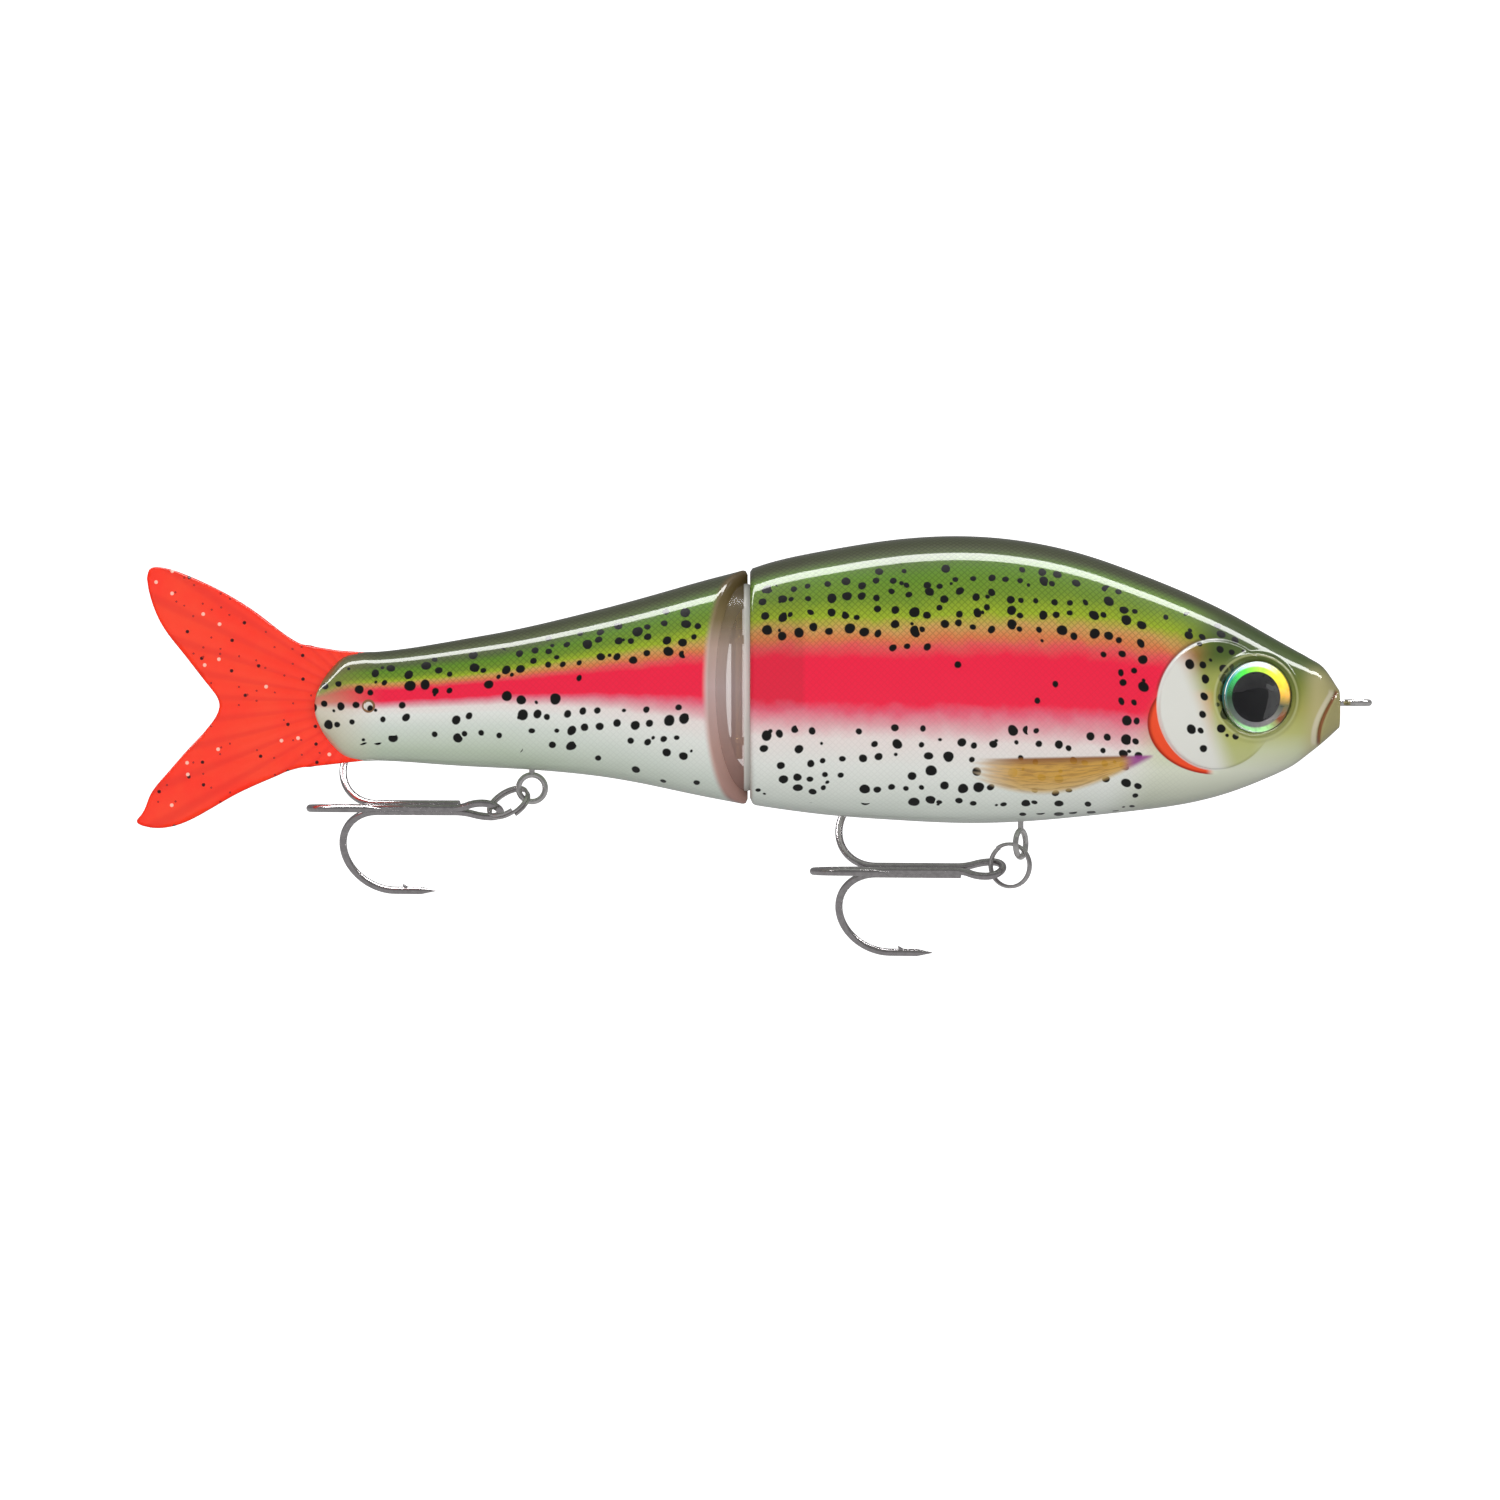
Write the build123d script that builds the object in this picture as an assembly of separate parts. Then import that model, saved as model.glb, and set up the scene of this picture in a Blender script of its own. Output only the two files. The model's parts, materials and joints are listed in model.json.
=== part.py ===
"""A jointed swimbait: two hollow hard-plastic body sections on a vertical hinge pin, a soft forked tail and
two treble hooks on split rings.

Millimetres. +X runs to the nose, +Y is the lure's left side, +Z is up. The origin is the centre of the line
tie's eye at the nose. Every piece is written to parts/ as its own STEP file.
"""

from build123d import *
import math
import os

# ---------------------------------------------------------------- driving sizes: the hard body
BODY_LENGTH = 136.2  # nose to the round rear end of the rear section
BODY_HEIGHT = 38.2  # deepest section, back to belly
BODY_WIDTH = 21.8  # thickest section, side to side
NOSE_BEHIND_EYE = 2.45  # from the line tie's centre back to the nose
FULLNESS = 2.3  # exponent of the oval cross-sections: 2 is an ellipse, more is squarer
WALL = 1.6  # shell wall
SECTION_PAST = 20.0  # degrees that each half is lofted past the middle plane before it is trimmed

# Side and top outlines: share of length from the nose, back and belly as shares of the height above and
# below the line tie, and half width as a share of the full width.
OUTLINE = [
    (0.000, 0.040, -0.084, 0.075),
    (0.006, 0.092, -0.118, 0.125),
    (0.017, 0.127, -0.141, 0.170),
    (0.036, 0.169, -0.197, 0.230),
    (0.056, 0.208, -0.239, 0.280),
    (0.095, 0.288, -0.298, 0.340),
    (0.134, 0.358, -0.340, 0.388),
    (0.173, 0.417, -0.365, 0.422),
    (0.232, 0.497, -0.389, 0.456),
    (0.291, 0.553, -0.410, 0.481),
    (0.349, 0.577, -0.420, 0.496),
    (0.388, 0.580, -0.417, 0.500),
    (0.447, 0.563, -0.406, 0.498),
    (0.506, 0.528, -0.389, 0.488),
    (0.564, 0.476, -0.361, 0.468),
    (0.623, 0.424, -0.326, 0.438),
    (0.682, 0.364, -0.281, 0.400),
    (0.741, 0.309, -0.249, 0.358),
    (0.799, 0.260, -0.232, 0.318),
    (0.858, 0.221, -0.221, 0.278),
    (0.917, 0.187, -0.206, 0.240),
    (1.000, 0.165, -0.200, 0.190),
]

# ---------------------------------------------------------------- driving sizes: the body joint
HINGE_FROM_NOSE = 80.2
SWING = 28.0  # degrees each way before the shoulders meet the front section
MOUTH_AHEAD = 1.75  # from the hinge axis forward to the front section's open rear edge
RIM = 1.0  # front section's wall around the mouth of the socket
JOINT_GAP = 0.4  # between the rear section's round knuckle and the socket
STOP_GAP = 0.3  # left between the shoulders and the front section at full swing
BULKHEAD = 6.5  # solid plastic ahead of the socket, which the hinge eyes screw into
HINGE_PIN_RADIUS = 0.75
HINGE_EYE_WIRE = 1.1  # wire diameter of the screw eyes
HINGE_EYE_PLAY = 0.1  # radial, between the eyes and the pin
HINGE_EYE_HEIGHTS = {"upper": 8.4, "lower": -5.1}
HINGE_PIN_ABOVE = 5.6  # the upper eye
HINGE_PIN_BELOW = 2.4  # the lower eye
HINGE_SLOT_GAP = 0.35  # round the eyes, inside the knuckle
SCREW_RADIUS = 0.85
THREAD_FROM_SOCKET = 0.3
THREAD_SHORT = 1.0  # of the bulkhead's front face
SLOT_OVERTRAVEL = 2.0  # degrees past the joint's swing that the eyes' slots reach
SEAT_GAP = 0.02  # round metal pieces that are clasped between two shells

# ---------------------------------------------------------------- driving sizes: hollows and ballast
NOSE_BLOCK = 17.5  # solid plastic behind the nose, round the line tie's shank
KNUCKLE_BLOCK = 7.5  # solid plastic behind the hinge axis
WEIGHTS = {  # name: (middle, from the nose back; length; radius)
    "front_keel_weight": (26.5, 14.0, 3.8),
    "middle_keel_weight": (54.5, 15.0, 4.8),
    "rear_keel_weight": (96.5, 13.0, 3.0),
}
RIB = 1.2
RIB_ABOVE_WEIGHT = 1.0
WEIGHT_ABOVE_WALL = 0.3
WEIGHT_EDGE = 0.6  # rounding of the slugs' edges

# ---------------------------------------------------------------- driving sizes: eyes, line tie, hangers
EYE_FROM_NOSE = 11.35
EYE_HEIGHT = 0.7
EYE_RADIUS = 4.75
EYE_TILT = 13.0  # degrees that each eye looks forward
EYE_SOCKET_DEPTH = 1.7
EYE_SOCKET_GAP = 0.1
EYE_DISC = 0.5
EYE_DOME = 1.9  # how far the lens rises from the disc's face at its middle
EYE_LENS_SIDE = 1.0
TIE_WIRE = 0.9
TIE_HOLE_RADIUS = 1.1
TIE_LAND = 0.06  # the wire's inside is flattened this deep where it was wound on its mandrel
TIE_SHANK = 11.0
TIE_ANCHOR_RADIUS = 1.3
HANGER_WIRE = 0.76
HANGER_RADIUS = 1.78  # of the eye's centreline
HANGER_DROPS = {"front": 5.1, "rear": 4.6}  # from the belly down to each eye's lowest point
HANGER_SHANK = 6.5
HANGER_BOSS = 3.0  # half length of the solid boss over each hanger
FRONT_HANGER_FROM_NOSE = 42.4
FRONT_HANGER_TURN = 65.0  # degrees that its eye is turned from the lure's side
REAR_HANGER_FROM_NOSE = 107.5
REAR_HANGER_TURN = 0.0

# ---------------------------------------------------------------- driving sizes: the tail
TAIL_THICKNESS = 2.4
TAIL_TIP_THICKNESS = 0.9
TAIL_SLOT_GAP = 0.1
TAIL_PIN_RADIUS = 0.65
TAIL_PIN_SHY = 0.05  # that its ends lie under the body's sides
TAIL_TAB_LENGTH = 5.5
TAIL_TAB_HALF_HEIGHT = 4.2
TAIL_TAPER_LENGTH = 26.0  # behind the body's end, over which the fin thins to its tips
TAIL_SLOT_WALL = 2.5  # solid plastic ahead of the tail's slot
ROOT_GAP = 0.1  # between the root's edges and the lines that it follows
ROOT_RISE = 0.8  # share of the way from the body's back up to the fin's edge at the flex line
ROOT_KNEE = 0.55  # share of the root's length, from the pin, where its upper edge turns up
KNEE_RISE = 0.25  # share of the root's rise that is reached there
FLEX_BEHIND_BODY = 0.5  # from the body's end back to the start of the free fin
FLEX_GAP = 0.1
END_DEPTH_AT = 7.2  # from the body's end forward to where its depth sets the round end's radius
# Edge of the free fin behind the body, going round from the top: (behind the body's end, height).
FIN_TOP = [(2.0, 7.7), (7.3, 11.5), (12.7, 14.9), (18.0, 17.3), (21.2, 18.1)]
FIN_FORK = [
    (22.1, 14.0), (18.0, 6.9), (14.3, 2.2), (12.9, -0.2), (14.1, -2.9), (17.2, -6.3), (19.9, -9.4), (22.3, -12.6),
    (23.5, -15.1),
]
FIN_BOTTOM = [(22.4, -16.6), (19.2, -16.5), (15.2, -14.8), (9.9, -11.8), (4.7, -9.5), (0.7, -8.6)]
# Directions of that edge at the root, at the upper tip, at the lower tip and back at the root.
FIN_TANGENTS = [(-1, 0, 0.45), (-1, 0, 0.1), (1, 0, -0.2), (1, 0, 0.22)]

# ---------------------------------------------------------------- driving sizes: split rings and treble hooks
RING_WIRE = 0.46
RING_RADIUS = 2.85  # of the coils' centreline
RING_COIL_GAP = 0.02
HANG_GAP = 0.35  # between a split ring and the hanger that it is threaded through
HOOK_GAP = 0.8  # between a split ring and the hook's eye
HOOK_WIRE = 1.0
HOOK_LEG_GAP = 0.03  # between the brazed legs
HOOK_EYE_RADIUS = 1.85
HOOK_EYE_LENGTH = 6.5  # eye's far end to where the legs run together
HOOK_LENGTH = 17.8  # eye's far end to the start of the bends
THIRD_LEG_SHORT = 0.5  # of where the double hook's legs part
BRAZE_SHORT = 1.5  # of each end of the legs' run together
BEND_RADIUS = 6.2
POINT_LENGTH = 6.0
POINT_TAPER = 2.2
POINT_TIP_RADIUS = 0.05
BARB_FROM_BEND = 1.3
BARB_LENGTH = 1.4
BARB_RISE = 0.45
BARB_LEAN = 0.25
BARB_WIDTH = 0.3
HOOK_YAW = 19.0  # degrees that the hooks lie away from the lure's middle plane
RING_DIPS = {"front": 36.0, "rear": 32.0}  # degrees that each split ring hangs below the level
REAR_RING_LEAN = -30.0  # degrees that the rear ring is turned from its hanger's square

LEFT, RIGHT = 1, -1
FAR = 200.0
CUT_PAST = 2.0  # that a cutting shape runs past what it cuts


# ---------------------------------------------------------------- the body's outline
def outline(x):
    """Back height, belly height and half width of the body at x, on smooth curves through OUTLINE."""
    share = (-NOSE_BEHIND_EYE - x) / BODY_LENGTH
    share = min(max(share, OUTLINE[0][0]), OUTLINE[-1][0])
    i = max(k for k in range(len(OUTLINE) - 1) if OUTLINE[k][0] <= share)
    last = len(OUTLINE) - 1
    before, this, after, beyond = (OUTLINE[min(max(k, 0), last)] for k in (i - 1, i, i + 1, i + 2))
    step = after[0] - this[0]
    t = (share - this[0]) / step

    def smooth(c):
        slope_in = (after[c] - before[c]) / (after[0] - before[0])
        slope_out = (beyond[c] - this[c]) / (beyond[0] - this[0])
        return (
            this[c] * (2 * t**3 - 3 * t**2 + 1)
            + after[c] * (3 * t**2 - 2 * t**3)
            + slope_in * step * (t**3 - 2 * t**2 + t)
            + slope_out * step * (t**3 - t**2)
        )

    return smooth(1) * BODY_HEIGHT, smooth(2) * BODY_HEIGHT, smooth(3) * BODY_WIDTH


def from_nose(distance):
    return -NOSE_BEHIND_EYE - distance


BODY_END = from_nose(BODY_LENGTH)
HINGE_X = from_nose(HINGE_FROM_NOSE)
MOUTH_X = HINGE_X + MOUTH_AHEAD
HINGE_TOP, HINGE_BOTTOM, _ = outline(HINGE_X)
HINGE_MIDDLE = (HINGE_TOP + HINGE_BOTTOM) / 2
SOCKET_RADIUS = math.hypot(outline(MOUTH_X)[2] - RIM, MOUTH_AHEAD)
SOCKET_HALF_HEIGHT = (HINGE_TOP - HINGE_BOTTOM) / 2 - RIM
HINGE_EYE_RADIUS = HINGE_PIN_RADIUS + HINGE_EYE_PLAY + HINGE_EYE_WIRE / 2
END_ROUND_TOP, END_ROUND_BOTTOM, _ = outline(BODY_END + END_DEPTH_AT)
END_ROUND = (END_ROUND_TOP - END_ROUND_BOTTOM) / 2
TAIL_PIN_X = BODY_END + END_ROUND
TAIL_PIN_Z = (END_ROUND_TOP + END_ROUND_BOTTOM) / 2
SLOT_FRONT = TAIL_PIN_X + TAIL_TAB_LENGTH
TAIL_SPLIT_X = BODY_END - FLEX_BEHIND_BODY


def oval(half_width, top, bottom, past=0.0, steps=12):
    """Points (y, z) down the -Y side of an oval, carried on by some degrees past its top and bottom."""
    middle, half = (top + bottom) / 2, (top - bottom) / 2
    points = []
    for i in range(steps + 1):
        angle = math.radians(-past + (180 + 2 * past) * i / steps)
        side = math.copysign(abs(math.sin(angle)) ** (2 / FULLNESS), math.sin(angle))
        rise = math.copysign(abs(math.cos(angle)) ** (2 / FULLNESS), math.cos(angle))
        points.append((-half_width * side, middle + half * rise))
    return points


def section(x, inset):
    """The body's cross-section at x, drawn in by inset, as far as a little past the middle plane."""
    top, bottom, half_width = outline(x)
    sides = oval(half_width - inset, top - inset, bottom + inset, SECTION_PAST)
    points = [(x, y, z) for y, z in sides]
    return Face(Wire([Spline(*points), Line(points[-1], points[0])]))


def body(stations, inset=0.0):
    return loft([section(x, inset) for x in stations])


def spread(start, end, count):
    return [start + (end - start) * i / (count - 1) for i in range(count)]


def nose_stations(end, count=14):
    """Stations that crowd towards the nose, where the outline turns fastest."""
    start = from_nose(0)
    return [start + (end - start) * (1 - math.cos(math.pi / 2 * i / (count - 1))) for i in range(count)]


def barrel(radius, half_height):
    """An egg-shaped barrel on the hinge axis."""
    one_side = Pos(radius, 0) * Rectangle(radius * 2, half_height * 3)
    profile = Plane.XZ * (Ellipse(radius, half_height) & one_side)
    return Pos(HINGE_X, 0, HINGE_MIDDLE) * revolve(profile, Axis.Z, 360)


def block(x0, x1, y0, y1, z0, z1):
    return Pos((x0 + x1) / 2, (y0 + y1) / 2, (z0 + z1) / 2) * Box(x1 - x0, y1 - y0, z1 - z0)


def rod(start, end, radius):
    """A round rod between two points."""
    start, end = Vector(*start), Vector(*end)
    along = end - start
    return Plane(origin=start, z_dir=along) * Cylinder(
        radius, along.length, align=(Align.CENTER, Align.CENTER, Align.MIN)
    )


RIGHT_HALF = block(-FAR, FAR, -FAR, 0, -FAR, FAR)


def to_side(shape, side):
    """A piece drawn for the right side, on the side that is wanted."""
    return shape if side == RIGHT else mirror(shape, about=Plane.XZ)


# ---------------------------------------------------------------- small metal pieces in the body
def anchored_shank(length, anchor_radius, wire):
    """A shank up from the origin, whose end is wound into an anchor eye."""
    shank = rod((0, 0, 0), (0, 0, length - anchor_radius), wire)
    return shank + Pos(0, 0, length) * Rot(90, 0, 0) * Torus(anchor_radius, wire)


def line_tie_shank(grow=0.0):
    start = Pos(-TIE_HOLE_RADIUS + TIE_LAND - TIE_WIRE / 2, 0, 0)
    return start * Rot(0, -90, 0) * anchored_shank(TIE_SHANK, TIE_ANCHOR_RADIUS, TIE_WIRE / 2 + grow)


def line_tie():
    """A wire eye lying flat ahead of the nose, on a shank that is anchored inside the nose."""
    eye = Torus(TIE_HOLE_RADIUS - TIE_LAND + TIE_WIRE / 2, TIE_WIRE / 2)
    return eye + line_tie_shank() - Cylinder(TIE_HOLE_RADIUS, TIE_WIRE * 2)


def hanger_place(name):
    """Centre of a hook hanger's eye and the turn of its plane about Z."""
    behind, turn = {
        "front": (FRONT_HANGER_FROM_NOSE, FRONT_HANGER_TURN),
        "rear": (REAR_HANGER_FROM_NOSE, REAR_HANGER_TURN),
    }[name]
    x = from_nose(behind)
    lowest = outline(x)[1] - HANGER_DROPS[name]
    return Vector(x, 0, lowest + HANGER_WIRE / 2 + HANGER_RADIUS), turn


def hook_hanger(name, grow=0.0):
    """A wire eye under the belly, on a shank that is anchored inside the body."""
    centre, turn = hanger_place(name)
    wire = HANGER_WIRE / 2 + grow
    eye = Rot(90, 0, 0) * Torus(HANGER_RADIUS, wire)
    shank = Pos(0, 0, HANGER_RADIUS) * anchored_shank(HANGER_SHANK, HANGER_RADIUS / 2, wire)
    return Pos(*centre) * Rot(0, 0, turn) * (eye + shank)


def hinge_eye(name, grow=0.0):
    """A screw eye: its ring lies flat round the hinge pin and its thread is held by the bulkhead."""
    z = HINGE_EYE_HEIGHTS[name]
    wire = HINGE_EYE_WIRE / 2 + grow
    thread_start = HINGE_X + SOCKET_RADIUS + THREAD_FROM_SOCKET
    thread_end = HINGE_X + SOCKET_RADIUS + BULKHEAD - THREAD_SHORT
    ring = Pos(HINGE_X, 0, z) * Torus(HINGE_EYE_RADIUS, wire)
    neck = rod((HINGE_X + HINGE_EYE_RADIUS, 0, z), (thread_start, 0, z), wire)
    thread = rod((thread_start, 0, z), (thread_end, 0, z), SCREW_RADIUS + grow)
    return ring + neck + thread


def hinge_pin(grow=0.0):
    low = HINGE_EYE_HEIGHTS["lower"] - HINGE_PIN_BELOW - grow
    high = HINGE_EYE_HEIGHTS["upper"] + HINGE_PIN_ABOVE + grow
    return rod((HINGE_X, 0, low), (HINGE_X, 0, high), HINGE_PIN_RADIUS + grow)


def hinge_slot(name):
    """Room inside the knuckle for one screw eye at every angle of the joint."""
    height = HINGE_EYE_WIRE + 2 * HINGE_SLOT_GAP
    beside = HINGE_EYE_WIRE / 2 + HINGE_SLOT_GAP
    reach = SOCKET_RADIUS + CUT_PAST
    swing = math.radians(SWING + SLOT_OVERTRAVEL)
    across = reach * math.sin(swing) + beside
    ahead = reach * math.cos(swing)
    tip = reach / math.cos(swing)
    fan = Polygon((0, beside), (0, -beside), (ahead, -across), (tip, 0), (ahead, across), align=None)
    plan = Circle(HINGE_EYE_RADIUS + HINGE_EYE_WIRE / 2 + HINGE_SLOT_GAP) + fan
    return Pos(HINGE_X, 0, HINGE_EYE_HEIGHTS[name] - height / 2) * extrude(plan, height)


def keel_weight(name, grow=0.0):
    """A round steel slug lying along the belly."""
    middle, length, radius = WEIGHTS[name]
    x = from_nose(middle)
    floor = max(outline(x - length / 2)[1], outline(x + length / 2)[1]) + WALL
    z = floor + WEIGHT_ABOVE_WALL + radius
    slug = rod((x - length / 2, 0, z), (x + length / 2, 0, z), radius + grow)
    return fillet(slug.edges(), WEIGHT_EDGE) if not grow else slug


def weight_ribs(name):
    """Two slabs across the hollow that carry a keel weight."""
    middle, length, _ = WEIGHTS[name]
    x = from_nose(middle)
    top = keel_weight(name).bounding_box().max.Z + RIB_ABOVE_WEIGHT
    return [
        block(x + offset - RIB / 2, x + offset + RIB / 2, -FAR, FAR, -FAR, top)
        for offset in (-length / 4, length / 4)
    ]


def hanger_boss(name):
    """A block over the belly, round a hanger's shank and anchor."""
    centre, _ = hanger_place(name)
    anchor = HANGER_RADIUS / 2
    top = centre.Z + HANGER_RADIUS + HANGER_SHANK + anchor + HANGER_WIRE
    return block(centre.X - HANGER_BOSS, centre.X + HANGER_BOSS, -FAR, FAR, -FAR, top)


def hollow(stations, weights, hanger):
    """The air inside a body section, less the ribs and boss that stand in it, plus the weights' seats."""
    air = body(stations, WALL)
    for weight in weights:
        for rib in weight_ribs(weight):
            air -= rib
        air += keel_weight(weight, SEAT_GAP)
    return air - hanger_boss(hanger)


# ---------------------------------------------------------------- eyes
def eye_plane():
    x = from_nose(EYE_FROM_NOSE)
    tilt = math.radians(EYE_TILT)
    outward = Vector(math.sin(tilt), -math.cos(tilt), 0)
    surface = Vector(x, -outline(x)[2], EYE_HEIGHT)
    return Plane(origin=surface - outward * EYE_SOCKET_DEPTH, x_dir=(0, 0, 1), z_dir=outward)


def eye_socket():
    return eye_plane() * Cylinder(
        EYE_RADIUS + EYE_SOCKET_GAP, BODY_WIDTH, align=(Align.CENTER, Align.CENTER, Align.MIN)
    )


def eye_disc(side):
    disc = Cylinder(EYE_RADIUS, EYE_DISC, align=(Align.CENTER, Align.CENTER, Align.MIN))
    return to_side(eye_plane() * disc, side)


def eye_lens(side):
    """A clear cap with a low dome, seated on the printed disc."""
    height = EYE_DOME - EYE_DISC
    rise = height - EYE_LENS_SIDE
    sphere = (EYE_RADIUS**2 + rise**2) / (2 * rise)
    cap = Cylinder(EYE_RADIUS, height, align=(Align.CENTER, Align.CENTER, Align.MIN))
    cap &= Pos(0, 0, height - sphere) * Sphere(sphere)
    return to_side(eye_plane() * Pos(0, 0, EYE_DISC) * cap, side)


# ---------------------------------------------------------------- shells
def front_half():
    """The front section's right half: skin, bulkhead, socket, nose block, bosses and ribs."""
    stations = spread(from_nose(NOSE_BLOCK), HINGE_X + SOCKET_RADIUS + BULKHEAD, 7)
    weights = ("front_keel_weight", "middle_keel_weight")
    half = body(nose_stations(MOUTH_X)) - hollow(stations, weights, "front")
    half -= barrel(SOCKET_RADIUS, SOCKET_HALF_HEIGHT)
    half -= line_tie_shank(SEAT_GAP)
    for name in HINGE_EYE_HEIGHTS:
        half -= hinge_eye(name, SEAT_GAP)
    return (half - eye_socket()) & RIGHT_HALF


def shoulder_cut():
    """Everything ahead of the rear section's right shoulder, which meets the mouth at full swing."""
    swing = math.radians(SWING)
    outward = Vector(math.cos(swing), -math.sin(swing), 0)
    reach = MOUTH_AHEAD - STOP_GAP
    plane = Plane(origin=Vector(HINGE_X, 0, 0) + outward * reach, x_dir=(0, 0, 1), z_dir=outward)
    level = block(HINGE_X + reach, HINGE_X + FAR, -FAR, FAR, -FAR, FAR)
    tilted = plane * Box(FAR, FAR, FAR, align=(Align.CENTER, Align.CENTER, Align.MIN))
    return level + tilted


def end_cut():
    """Everything outside the rear section's round end, seen from the side."""
    corner = block(BODY_END - FAR, TAIL_PIN_X, -FAR, FAR, -FAR, FAR)
    return corner - rod((TAIL_PIN_X, -FAR, TAIL_PIN_Z), (TAIL_PIN_X, FAR, TAIL_PIN_Z), END_ROUND)


def tail_slot():
    half = TAIL_THICKNESS / 2 + TAIL_SLOT_GAP
    open_end = block(BODY_END - CUT_PAST, TAIL_PIN_X, -half, half, -FAR, FAR)
    low = TAIL_PIN_Z - TAIL_TAB_HALF_HEIGHT - TAIL_SLOT_GAP
    high = TAIL_PIN_Z + TAIL_TAB_HALF_HEIGHT + TAIL_SLOT_GAP
    return open_end + block(TAIL_PIN_X - CUT_PAST, SLOT_FRONT + TAIL_SLOT_GAP, -half, half, low, high)


def tail_lock_pin(grow=0.0):
    """A pin across the rear section that holds the tail's tab, its ends flush with the sides."""
    reach = outline(TAIL_PIN_X)[2] + (FAR if grow else -TAIL_PIN_SHY)
    return rod((TAIL_PIN_X, -reach, TAIL_PIN_Z), (TAIL_PIN_X, reach, TAIL_PIN_Z), TAIL_PIN_RADIUS + grow)


def rear_half():
    """The rear section's right half: skin, knuckle, boss, ribs and the slot for the tail."""
    stations = spread(HINGE_X - KNUCKLE_BLOCK, SLOT_FRONT + TAIL_SLOT_WALL, 6)
    skin = body(spread(HINGE_X + MOUTH_AHEAD + CUT_PAST, BODY_END, 11))
    half = skin - shoulder_cut() - end_cut() - hollow(stations, ("rear_keel_weight",), "rear")
    half += barrel(SOCKET_RADIUS - JOINT_GAP, SOCKET_HALF_HEIGHT - JOINT_GAP)
    half -= hinge_pin(SEAT_GAP)
    for name in HINGE_EYE_HEIGHTS:
        half -= hinge_slot(name)
    return (half - tail_slot() - tail_lock_pin(SEAT_GAP)) & RIGHT_HALF


# ---------------------------------------------------------------- tail
def tail_taper():
    """The tail's plan: full thickness in the slot, thinning to its tips."""
    half, tip = TAIL_THICKNESS / 2, TAIL_TIP_THICKNESS / 2
    back = BODY_END - TAIL_TAPER_LENGTH
    plan = Polygon(
        (SLOT_FRONT, half), (TAIL_SPLIT_X, half), (back, tip), (back, -tip), (TAIL_SPLIT_X, -half),
        (SLOT_FRONT, -half), align=None,
    )
    return Pos(0, 0, -FAR / 2) * extrude(plan, FAR)


def tail_blade(edge):
    sheet = Face(Wire(edge))
    return Pos(0, TAIL_THICKNESS, 0) * extrude(sheet, TAIL_THICKNESS * 2, dir=(0, -1, 0)) & tail_taper()


def tail_root():
    """The tail's root between the cheeks: full height behind the pin, then a narrower tab."""
    edge_x = TAIL_PIN_X - ROOT_GAP
    top, bottom, _ = outline(edge_x)
    fin_top = FIN_TOP[0][1]
    fin_bottom = FIN_BOTTOM[-1][1]
    high, low = TAIL_PIN_Z + TAIL_TAB_HALF_HEIGHT, TAIL_PIN_Z - TAIL_TAB_HALF_HEIGHT
    split_top = top + (fin_top - top) * ROOT_RISE
    knee = (edge_x + (TAIL_SPLIT_X - edge_x) * ROOT_KNEE, top + (split_top - top) * KNEE_RISE)
    corners = [
        (TAIL_SPLIT_X, split_top), knee, (edge_x, top - ROOT_GAP), (edge_x, high), (SLOT_FRONT, high),
        (SLOT_FRONT, low), (edge_x, low), (edge_x, bottom + ROOT_GAP), (TAIL_SPLIT_X, fin_bottom + ROOT_GAP),
    ]
    edge = Polyline(*[(x, 0, z) for x, z in corners], close=True)
    return tail_blade(edge.edges()) - tail_lock_pin(SEAT_GAP)


def tail_fin():
    """The free, forked fin, with a round front edge on the axis that it flexes about."""
    front = TAIL_SPLIT_X - FLEX_GAP - TAIL_THICKNESS / 2

    def points(shape):
        return [(BODY_END - back, 0, z) for back, z in shape]

    top, fork, bottom = points(FIN_TOP), points(FIN_FORK), points(FIN_BOTTOM)
    root_top, tip_top, tip_bottom, root_bottom = FIN_TANGENTS
    top[0] = (front, 0, top[0][2])
    bottom[-1] = (front, 0, bottom[-1][2])
    edge = [
        Spline(*top, tangents=[root_top, tip_top]),
        Spline(top[-1], *fork, bottom[0], tangents=[tip_top, tip_bottom]),
        Spline(*bottom, tangents=[tip_bottom, root_bottom]),
        Line(bottom[-1], top[0]),
    ]
    blade = tail_blade(edge)
    height = top[0][2] - bottom[-1][2]
    nose = Pos(front, 0, bottom[-1][2]) * Cylinder(
        TAIL_THICKNESS / 2, height, align=(Align.CENTER, Align.CENTER, Align.MIN)
    )
    return blade + nose


# ---------------------------------------------------------------- split rings
def link_directions(name):
    """Way that a split ring hangs from its hanger, and the ring's own axis."""
    centre, turn = hanger_place(name)
    dip = math.radians(RING_DIPS[name])
    if name == "front":
        # The ring stands square to the hanger's eye and swings about the eye's lowest wire.
        turn = math.radians(turn)
        back = Vector(-math.sin(turn), math.cos(turn), 0)
        axis = Vector(math.cos(turn), math.sin(turn), 0)
        return back * math.cos(dip) - Vector(0, 0, math.sin(dip)), axis
    # The ring slides round inside the hanger's eye and leans over beside it.
    lean = math.radians(REAR_RING_LEAN)
    way = Vector(-math.cos(dip), 0, -math.sin(dip))
    square = Vector(-math.sin(dip), 0, math.cos(dip))
    return way, Vector(0, 1, 0) * math.sin(lean) + square * math.cos(lean)


def hang_point(name):
    """Centre of the hanger's wire where its split ring hangs."""
    centre, _ = hanger_place(name)
    way, _ = link_directions(name)
    below = Vector(0, 0, -1) if name == "front" else way
    return centre + below * HANGER_RADIUS


def ring_centre(name):
    way, _ = link_directions(name)
    return hang_point(name) + way * (RING_RADIUS - (RING_WIRE + HANGER_WIRE) / 2 - HANG_GAP)


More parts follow.
